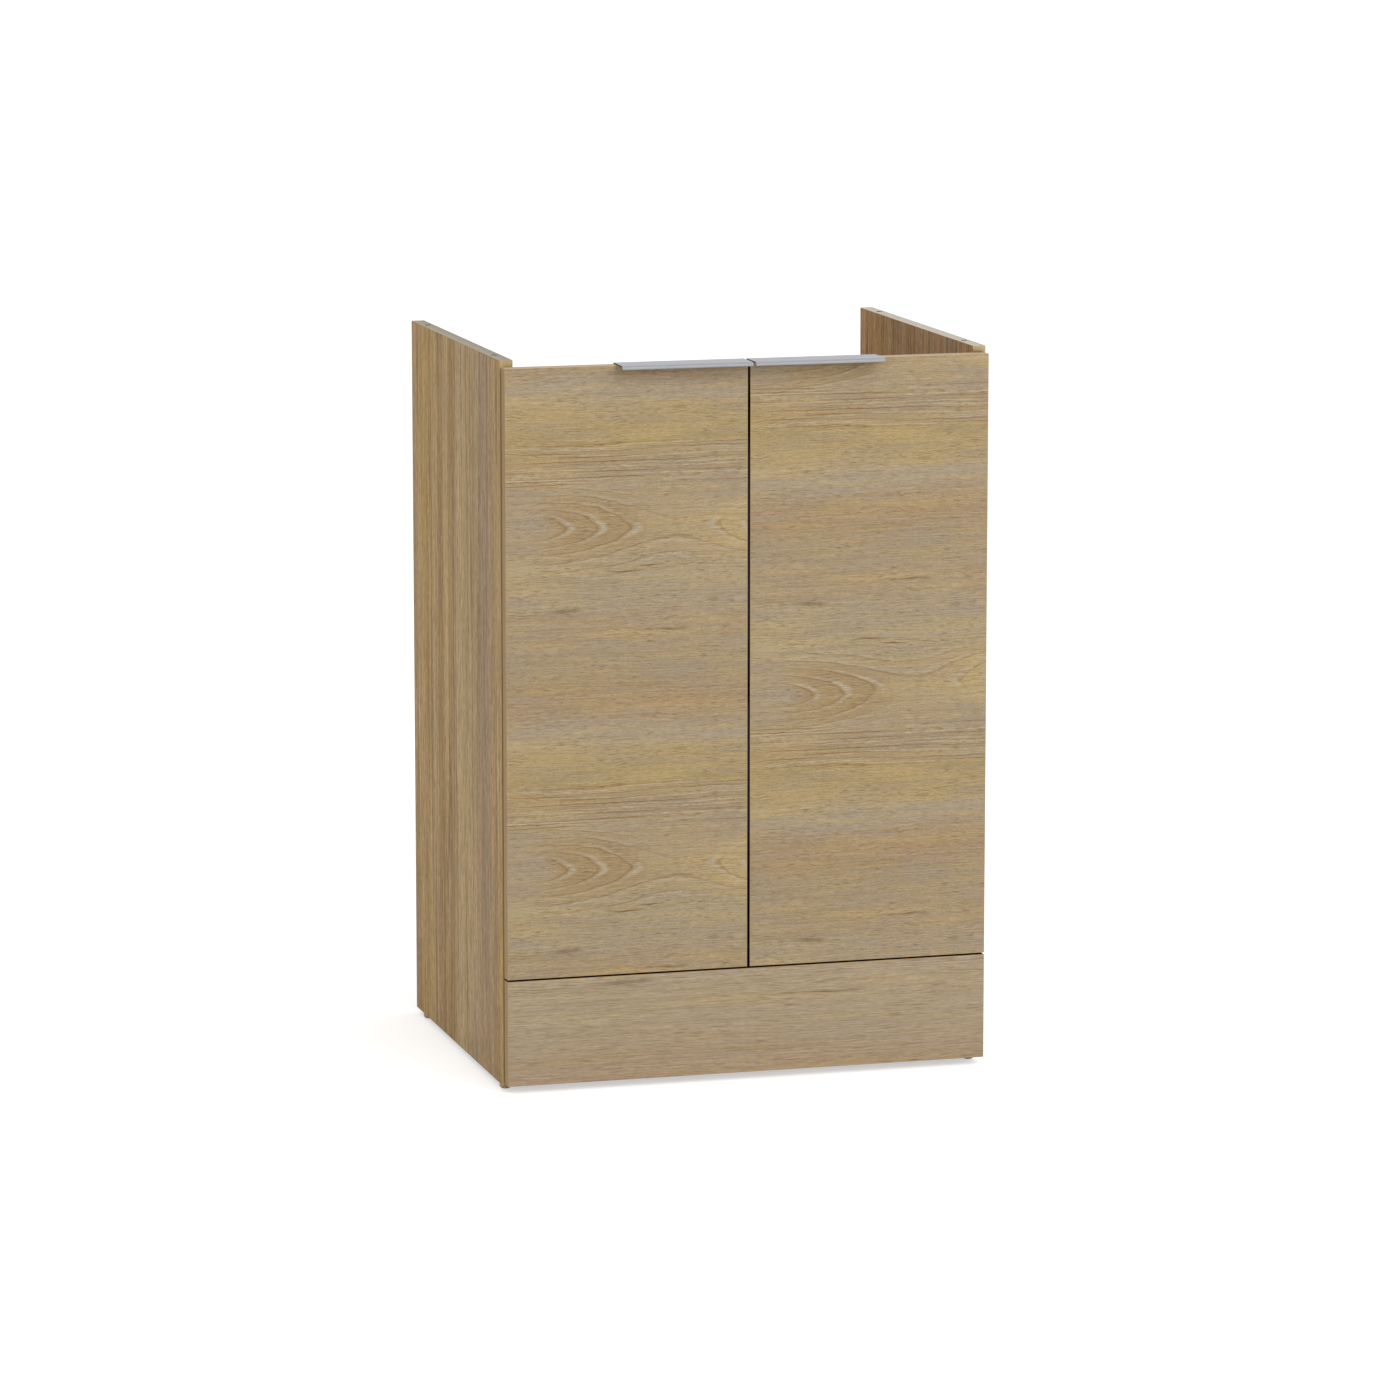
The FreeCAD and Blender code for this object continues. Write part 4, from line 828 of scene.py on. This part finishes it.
print("solids in the frame:", len(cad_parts))

# %% Round a board's outer edges
EDGE_ROUNDING = 0.6 * MM
EDGE_ROUNDING_STEPS = 3


def planes_at(point, low, high):
    """The outer planes of a box on which a point lies."""
    found = set()
    for axis in range(3):
        if abs(point[axis] - low[axis]) < NEAR:
            found.add((axis, -1))
        if abs(point[axis] - high[axis]) < NEAR:
            found.add((axis, 1))
    return found


def choose(piece, kind, test):
    """Goes to edit mode with only those edges or faces selected that pass a test."""
    bpy.ops.object.mode_set(mode="EDIT")
    bpy.ops.mesh.select_mode(type=kind)
    bpy.ops.mesh.select_all(action="DESELECT")
    bpy.ops.object.mode_set(mode="OBJECT")
    for item in piece.data.edges if kind == "EDGE" else piece.data.polygons:
        item.select = test(item)
    bpy.ops.object.mode_set(mode="EDIT")


def round_outer_edges(piece, low, high):
    """Bevels the edges in which two outer planes of the box meet."""
    def is_outer(edge):
        a, b = (piece.data.vertices[i].co for i in edge.vertices)
        return len(planes_at(a, low, high) & planes_at(b, low, high)) >= 2

    choose(piece, "EDGE", is_outer)
    bpy.ops.mesh.bevel(offset=EDGE_ROUNDING, segments=EDGE_ROUNDING_STEPS, affect="EDGES")
    bpy.ops.mesh.select_all(action="DESELECT")
    bpy.ops.object.mode_set(mode="OBJECT")


print("edge bands rounded by", EDGE_ROUNDING / MM, "mm")

# %% Dress a board
# The places of a board's materials in its list, and how nearly a face's normal has to follow an
# axis to be one of the two large faces, or to look upwards.
# The top band, on faces that look upwards, carries painted light on the doors and sides.
DECOR, BAND, CHIPS, TOP_BAND = range(4)
SQUARE, UPWARDS = 0.99, 0.5


def part_of_board(face, low, high, thin_axis):
    """Which of the board's materials a face shows, by its place and direction."""
    if abs(face.normal[thin_axis]) > SQUARE:
        return DECOR
    reach = 2 * EDGE_ROUNDING
    middle = face.center
    outside = any(
        axis != thin_axis
        and (middle[axis] < low[axis] + reach or middle[axis] > high[axis] - reach)
        for axis in range(3))
    if not outside:
        return CHIPS
    return TOP_BAND if face.normal.z > UPWARDS else BAND


def board(node, body, decor, thin_axis):
    """A board with decor on its two faces, bands on its edges and chips in its holes."""
    low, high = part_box(node)
    piece = copy_of(node, node + "_board")
    round_outer_edges(piece, low, high)
    band = pale_band if node == "right_side_panel" else edge_bands[thin_axis]
    for material in (decor, band, chipboard, top_edges.get(node, band)):
        piece.data.materials.append(material)
    for face in piece.data.polygons:
        face.material_index = part_of_board(face, low, high, thin_axis)
    shade(piece)
    return hand_over(piece, node, body)


boards = [
    board("left_door", "left_door", decor_left_door, 1),
    board("right_door", "right_door", decor_right_door, 1),
    board("plinth_panel", "carcass", decor_plinth, 1),
    board("left_side_panel", "carcass", decor_left_side, 0),
    board("right_side_panel", "carcass", decor_right_side, 0),
    board("bottom_panel", "carcass", decor_inside, 2),
    board("shelf", "carcass", decor_inside, 2),
    board("front_rail", "carcass", decor_rails, 1),
    board("upper_back_rail", "carcass", decor_rails, 1),
    board("lower_back_rail", "carcass", decor_rails, 1),
]
print("boards:", len(boards))

# %% [markdown]
# ## Pulls
# Each pull is a strip of aluminium, folded over the door's top edge and satin anodised. The
# surface keeps the fine drawn lines along its length, which spread the light across it. The bead
# along the front is given a darker tone, painted shade that holds down the lamp's reflection
# there, and the cut ends a dark brown painted shade. The real lines are far under a pixel, so
# they are drawn coarser.

# %% Aluminium
DRAWN_LINE = 0.8 * MM
DRAWN_STRETCH = 50
END_MARK = 0.6 * MM


def aluminium(name, dark, light, mark_size, stretch, roughness):
    """Aluminium whose tone follows the marks of its making, drawn out along the pull.

    A pair of numbers as roughness varies with the marks, and a single one is the same all over.
    """
    material, tree = new_material(name)
    place = add(tree, "TexCoord", out="Object")
    drawn = add(tree, "Mapping", {"Vector": place, "Scale": (1 / stretch, 1, 1)})
    marks = add(tree, "TexNoise", {"Vector": drawn, "Scale": 1 / mark_size, "Detail": 2.0})
    tone = add(tree, "Mix", {0: marks, 6: colour(dark), 7: colour(light)}, **COLOURS)
    if isinstance(roughness, tuple):
        roughness = add(tree, "MapRange", {0: marks, 3: roughness[0], 4: roughness[1]})
    shader = add(tree, "BsdfPrincipled", {
        "Base Color": tone, "Metallic": 1.0, "Roughness": roughness})
    add(tree, "OutputMaterial", {"Surface": shader})
    return material


anodised = aluminium("anodised_aluminium", "#9C9DA1", "#B3B4B8", DRAWN_LINE, DRAWN_STRETCH,
                     (0.38, 0.5))
# Painted shade: the bead's forward faces take a darker tone that holds down the lamp's
# reflection.
bead_painted_shade = aluminium("anodised_aluminium_bead_painted_shade", "#7C7D81", "#929397", DRAWN_LINE, DRAWN_STRETCH, 0.5)
# Painted shade: the cut ends take a dark brown tone, as they stand in shade.
end_painted_shade = aluminium("aluminium_end_painted_shade", "#4A4038", "#5E5248", END_MARK, 1, 0.6)
print("drawn lines", DRAWN_LINE / MM, "mm wide")


# %% Pieces with broken edges
SHARP_ANGLE = math.radians(40)


def softened(node, name, body, material, width, segments=2):
    """A merged copy of a CAD solid whose sharp edges are broken, so they catch the light."""
    piece = copy_of(node, name)
    bevel = piece.modifiers.new("broken_edges", "BEVEL")
    bevel.width, bevel.segments = width, segments
    bevel.limit_method, bevel.angle_limit = "ANGLE", SHARP_ANGLE
    bpy.ops.object.modifier_apply(modifier="broken_edges")
    piece.data.materials.append(material)
    shade(piece)
    return hand_over(piece, node, body)


print("edges over", round(math.degrees(SHARP_ANGLE)), "degrees are broken")

# %% The two pulls
PULL_EDGE = 0.15 * MM
# The cut ends look sideways, and so do a hole's small facets. The bead looks forwards.
SIDEWAYS, FORWARDS = 0.9, -0.8
SMALLEST_END_AREA = 1 * MM ** 2
# The places of the two painted-shade materials, for the cut ends and the bead, in a pull's list.
CUT_END, BEAD = 1, 2

pulls = [softened(side + "_handle", side + "_edge_pull", side + "_door",
                  anodised, PULL_EDGE) for side in ("left", "right")]
for pull in pulls:
    pull.data.materials.append(end_painted_shade)
    pull.data.materials.append(bead_painted_shade)
    for face in pull.data.polygons:
        if abs(face.normal.x) > SIDEWAYS and face.area > SMALLEST_END_AREA:
            face.material_index = CUT_END
        elif face.normal.y < FORWARDS:
            face.material_index = BEAD
print("pulls:", [pull.name for pull in pulls])

# %% [markdown]
# ## Finishes of the fittings
# The small parts are plastic, wood and plated metal. All of them get the same three layers: a
# tone that varies finely, a sheen that varies with it, and a slight unevenness of the surface.

# %% Fittings' finishes
DENT_STRENGTH = 0.3


def fitting_finish(name, dark, light, grain_size, metallic, roughness, dent, plastic_ior=None):
    """A finish whose tone, sheen and surface vary at the size of its grain."""
    material, tree = new_material(name)
    place = add(tree, "TexCoord", out="Object")
    fine = add(tree, "TexNoise", {"Vector": place, "Scale": 1 / grain_size, "Detail": 3.0})
    tone = add(tree, "Mix", {0: fine, 6: colour(dark), 7: colour(light)}, **COLOURS)
    rough = add(tree, "MapRange", {0: fine, 1: NOISE[0], 2: NOISE[1], 3: roughness[0],
                                   4: roughness[1]})
    bump = add(tree, "Bump", {"Strength": DENT_STRENGTH, "Distance": dent, "Height": fine},
               out="Normal")
    inputs = {"Base Color": tone, "Metallic": metallic, "Roughness": rough, "Normal": bump}
    if plastic_ior:
        inputs["IOR"] = plastic_ior
    add(tree, "OutputMaterial", {"Surface": add(tree, "BsdfPrincipled", inputs)})
    return material


# Moulded in a spark-eroded tool: matt taupe with a grain that only shows from near.
foot_plastic = fitting_finish("moulded_polypropylene", "#B89F82", "#CFB696", 0.6 * MM, 0.0,
                              (0.45, 0.6), 0.05 * MM, 1.49)
# The brackets are moulded harder and darker, in the same kind of tool.
bracket_plastic = fitting_finish("moulded_polyamide", "#5A4A3B", "#6B5847", 0.6 * MM, 0.0,
                                 (0.42, 0.58), 0.05 * MM, 1.53)
# Poured in drops: smooth, soft and nearly clear, so it takes a pale milky look.
bumper_rubber = fitting_finish("cast_polyurethane", "#CFCFC6", "#E2E2DA", 1.5 * MM, 0.0,
                               (0.2, 0.3), 0.01 * MM, 1.5)
# Turned and pressed with ribs, never sealed: dry and pinkish brown.
dowel_wood = fitting_finish("pressed_beech", "#B08D5E", "#CFAE7C", 1.0 * MM, 0.0, (0.7, 0.85),
                            0.05 * MM, 1.5)
# Cast under pressure and tumbled: grey, mottled and only half bright.
cast_zinc = fitting_finish("die_cast_zinc", "#96979A", "#B4B5B8", 0.9 * MM, 1.0, (0.42, 0.6),
                           0.03 * MM)
# Cold-headed and zinc plated: a little blue, with a soft mirror.
screw_steel = fitting_finish("zinc_plated_steel", "#B4B8C0", "#CDD1D8", 0.5 * MM, 1.0,
                             (0.24, 0.38), 0.01 * MM)
# Ground rod, cut and riveted over: plain grey steel.
pin_steel = fitting_finish("ground_steel_rod", "#A2A2A5", "#B8B8BC", 0.4 * MM, 1.0,
                           (0.25, 0.35), 0.01 * MM)
# Pressed from strip and nickel plated: bright and slightly warm, with the strip's faint waves.
hinge_steel = fitting_finish("nickel_plated_steel", "#BFBBB2", "#D6D3CB", 2.5 * MM, 1.0,
                             (0.18, 0.3), 0.02 * MM)
print("eight finishes")

# %% [markdown]
# ## Screws
# The screws have pan heads with a cross recess. One is modelled for each size: a cylinder whose
# upper rim is rounded by a bevel, with the shank drawn out of its underside and the cross cut
# by two bars. Copies then go where the CAD model has its plain screws, which are found as the
# loose parts of a node.

# %% One pan-head screw
# Shares of the head's height: how far its rim is rounded, and how tall the cutting bars are.
RIM_SHARE = 0.5
BAR_HEIGHT_SHARE = 1.3
# Shares of the head's radius: how long and wide the cross is.
CROSS_SHARES = (1.15, 0.3)
# The cross narrows to this share at its bottom, and the shank to this one at its tip, which is
# this many radii long.
CROSS_TAPER = 0.6
TIP_TAPER = 0.05
TIP_RADII = 2
# How nearly a face's normal points down to be an underside.
DOWNWARDS = -0.9


def drive_bar(radius, head, turn):
    """A tapered bar, crosswise for turn 1, that cuts half of the cross."""
    bpy.ops.object.select_all(action="DESELECT")
    bpy.ops.mesh.primitive_cube_add(size=1, location=(0, 0, 0))
    bar = bpy.context.active_object
    bar.scale = (CROSS_SHARES[turn] * radius, CROSS_SHARES[1 - turn] * radius,
                 BAR_HEIGHT_SHARE * head)
    bpy.ops.object.transform_apply(location=True, rotation=True, scale=True)
    choose(bar, "FACE", lambda face: face.normal.z < DOWNWARDS)
    bpy.ops.transform.resize(value=(CROSS_TAPER, CROSS_TAPER, 1))
    bpy.ops.object.mode_set(mode="OBJECT")
    return bar


def pan_head_screw(radius, head, shank_radius, total):
    """A screw at the origin, head up, with its head's top at height zero."""
    bpy.ops.object.select_all(action="DESELECT")
    bpy.ops.mesh.primitive_cylinder_add(vertices=32, radius=radius, depth=head,
                                        location=(0, 0, -head / 2))
    screw = bpy.context.active_object
    bpy.ops.object.transform_apply(location=True, rotation=True, scale=True)
    choose(screw, "EDGE", lambda edge: all(
        screw.data.vertices[i].co.z > -head / 2 for i in edge.vertices))
    bpy.ops.mesh.bevel(offset=RIM_SHARE * head, segments=4, affect="EDGES")
    bpy.ops.object.mode_set(mode="OBJECT")
    choose(screw, "FACE", lambda face: face.normal.z < DOWNWARDS)
    bpy.ops.mesh.inset(thickness=radius - shank_radius)
    tip = TIP_RADII * shank_radius
    for length in (total - head - tip, tip):
        bpy.ops.mesh.extrude_region_move(TRANSFORM_OT_translate={"value": (0, 0, -length)})
    bpy.ops.transform.resize(value=(TIP_TAPER, TIP_TAPER, 1))
    bpy.ops.mesh.select_all(action="DESELECT")
    bpy.ops.object.mode_set(mode="OBJECT")
    for turn in (0, 1):
        bar = drive_bar(radius, head, turn)
        bpy.context.view_layer.objects.active = screw
        cut = screw.modifiers.new("cross", "BOOLEAN")
        cut.operation, cut.solver, cut.object = "DIFFERENCE", "EXACT", bar
        bpy.ops.object.modifier_apply(modifier="cross")
        bpy.data.objects.remove(bar)
    return screw


print("the cross narrows to", CROSS_TAPER, "of its size")

# %% [markdown]
# A group of screws is one node of the CAD model. Its loose parts are separated, and each part's
# box tells where the screw is, which way it points and how long it is: its longest side is the
# screw's own direction, and the wider end is the head.

# %% Find the plain screws
def loose_parts(node):
    """The box of each loose part of a CAD node, and the ends' radii along its longest side."""
    copy_of(node, "loose_part")
    bpy.ops.object.mode_set(mode="EDIT")
    bpy.ops.mesh.select_all(action="SELECT")
    bpy.ops.mesh.separate(type="LOOSE")
    bpy.ops.object.mode_set(mode="OBJECT")
    found = []
    for part in list(bpy.context.selected_objects):
        points = [vertex.co.copy() for vertex in part.data.vertices]
        low = Vector([min(p[i] for p in points) for i in range(3)])
        high = Vector([max(p[i] for p in points) for i in range(3)])
        long_axis = max(range(3), key=lambda i: high[i] - low[i])
        middle = (low + high) / 2
        radii = []
        for end in (low[long_axis], high[long_axis]):
            spread = [p - middle for p in points if abs(p[long_axis] - end) < NEAR]
            for offset in spread:
                offset[long_axis] = 0
            radii.append(max(offset.length for offset in spread))
        found.append((low, high, long_axis, radii))
        bpy.data.objects.remove(part)
    return found


print("screws that hold a handle:", len(loose_parts("left_handle_screws")))

# %% Screws in place of the plain ones
# Radius and height of the head and radius of the shank in mm, by the head's rounded radius.
SCREW_SIZES = {3: (3.0, 1.7, 1.6), 4: (4.0, 2.2, 2.4)}
screw_models = {}


def screws(node, body):
    """Detailed screws that stand in for a node's plain ones, joined to one piece."""
    copies = []
    for low, high, axis, radii in sorted(loose_parts(node), key=lambda part: tuple(part[0])):
        head_up = 1 if radii[1] > radii[0] else -1
        width = max(high[i] - low[i] for i in range(3) if i != axis)
        total = high[axis] - low[axis]
        key = (round(width / MM / 2), round(total / MM, 1))
        if key not in screw_models:
            radius, head, shank = (size * MM for size in SCREW_SIZES[key[0]])
            screw_models[key] = pan_head_screw(radius, head, shank, total)
        copy = screw_models[key].copy()
        copy.data = screw_models[key].data.copy()
        bpy.context.collection.objects.link(copy)
        top = (low + high) / 2
        top[axis] = high[axis] if head_up > 0 else low[axis]
        up = Vector([0, 0, 0])
        up[axis] = head_up
        turned = up.to_track_quat("Z", "Y").to_matrix().to_4x4()
        copy.data.transform(Matrix.Translation(top) @ turned)
        copies.append(copy)
    bpy.ops.object.select_all(action="DESELECT")
    for copy in copies:
        copy.select_set(True)
    bpy.context.view_layer.objects.active = copies[0]
    bpy.ops.object.join()
    piece = bpy.context.active_object
    piece.name = node + "_cross_recess"
    piece.data.materials.append(screw_steel)
    shade(piece)
    return hand_over(piece, node, body)


screw_pieces = [screws("plinth_bracket_screws", "carcass")]
for side in ("left", "right"):
    screw_pieces.append(screws(side + "_cup_screws", side + "_door"))
    screw_pieces.append(screws(side + "_handle_screws", side + "_door"))
    screw_pieces.append(screws(side + "_plate_screws", "carcass"))
    screw_pieces.append(screws(side + "_hinge_arm_screws", "carcass"))
for model in screw_models.values():
    bpy.data.objects.remove(model)
print("screw pieces:", len(screw_pieces), "of", len(screw_models), "sizes")

# %% [markdown]
# ## Hinges, feet, brackets and joints
# Pressed steel has edges that are rounded by the punch and the plating, and moulded plastic
# never has a sharp corner. So these pieces are copies of their solids with broken edges.

# %% Fittings with broken edges
STEEL_EDGE = 0.12 * MM
PLASTIC_EDGE = 0.5 * MM
BUMPER_EDGE = 0.9 * MM

soft_pieces = []
for side in ("left", "right"):
    for level in ("upper", "lower"):
        for part, body in (("hinge_cup", side + "_door"), ("outer_link", side + "_outer_links"),
                           ("inner_link", side + "_inner_links"), ("hinge_arm", "carcass"),
                           ("mounting_plate", "carcass")):
            node = "_".join((side, level, part))
            soft_pieces.append(softened(node, node + "_plated", body,
                                        hinge_steel, STEEL_EDGE))
    soft_pieces.append(softened(side + "_plinth_bracket", side + "_corner_bracket", "carcass",
                                bracket_plastic, PLASTIC_EDGE, 3))
    soft_pieces.append(softened(side + "_door_bumpers", side + "_bumper_drops", side + "_door",
                                bumper_rubber, BUMPER_EDGE, 5))
    for end in ("front", "back"):
        node = "_".join((end, side, "foot"))
        soft_pieces.append(softened(node, node + "_glide", "carcass",
                                    foot_plastic, PLASTIC_EDGE, 3))
print("pieces with broken edges:", len(soft_pieces))

# %% [markdown]
# Dowels, cams, bolts and pins are almost wholly hidden in their holes. Their solids are good
# enough as they are, and only get their finish.

# %% Finishes of the other fittings
dressed = {name for piece in boards + pulls + screw_pieces + soft_pieces
           for name in piece["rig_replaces"]}
remaining = {"joint_dowels": dowel_wood, "cam_discs": cast_zinc, "cam_bolts": screw_steel,
             "shelf_pins": pin_steel}
for side in ("left", "right"):
    remaining[side + "_hinge_cup_pins"] = remaining[side + "_hinge_arm_pins"] = pin_steel
for name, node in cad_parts.items():
    if name not in dressed:
        node.data.materials.clear()
        node.data.materials.append(remaining[name])
print("CAD nodes that stay:", len(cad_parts) - len(dressed))
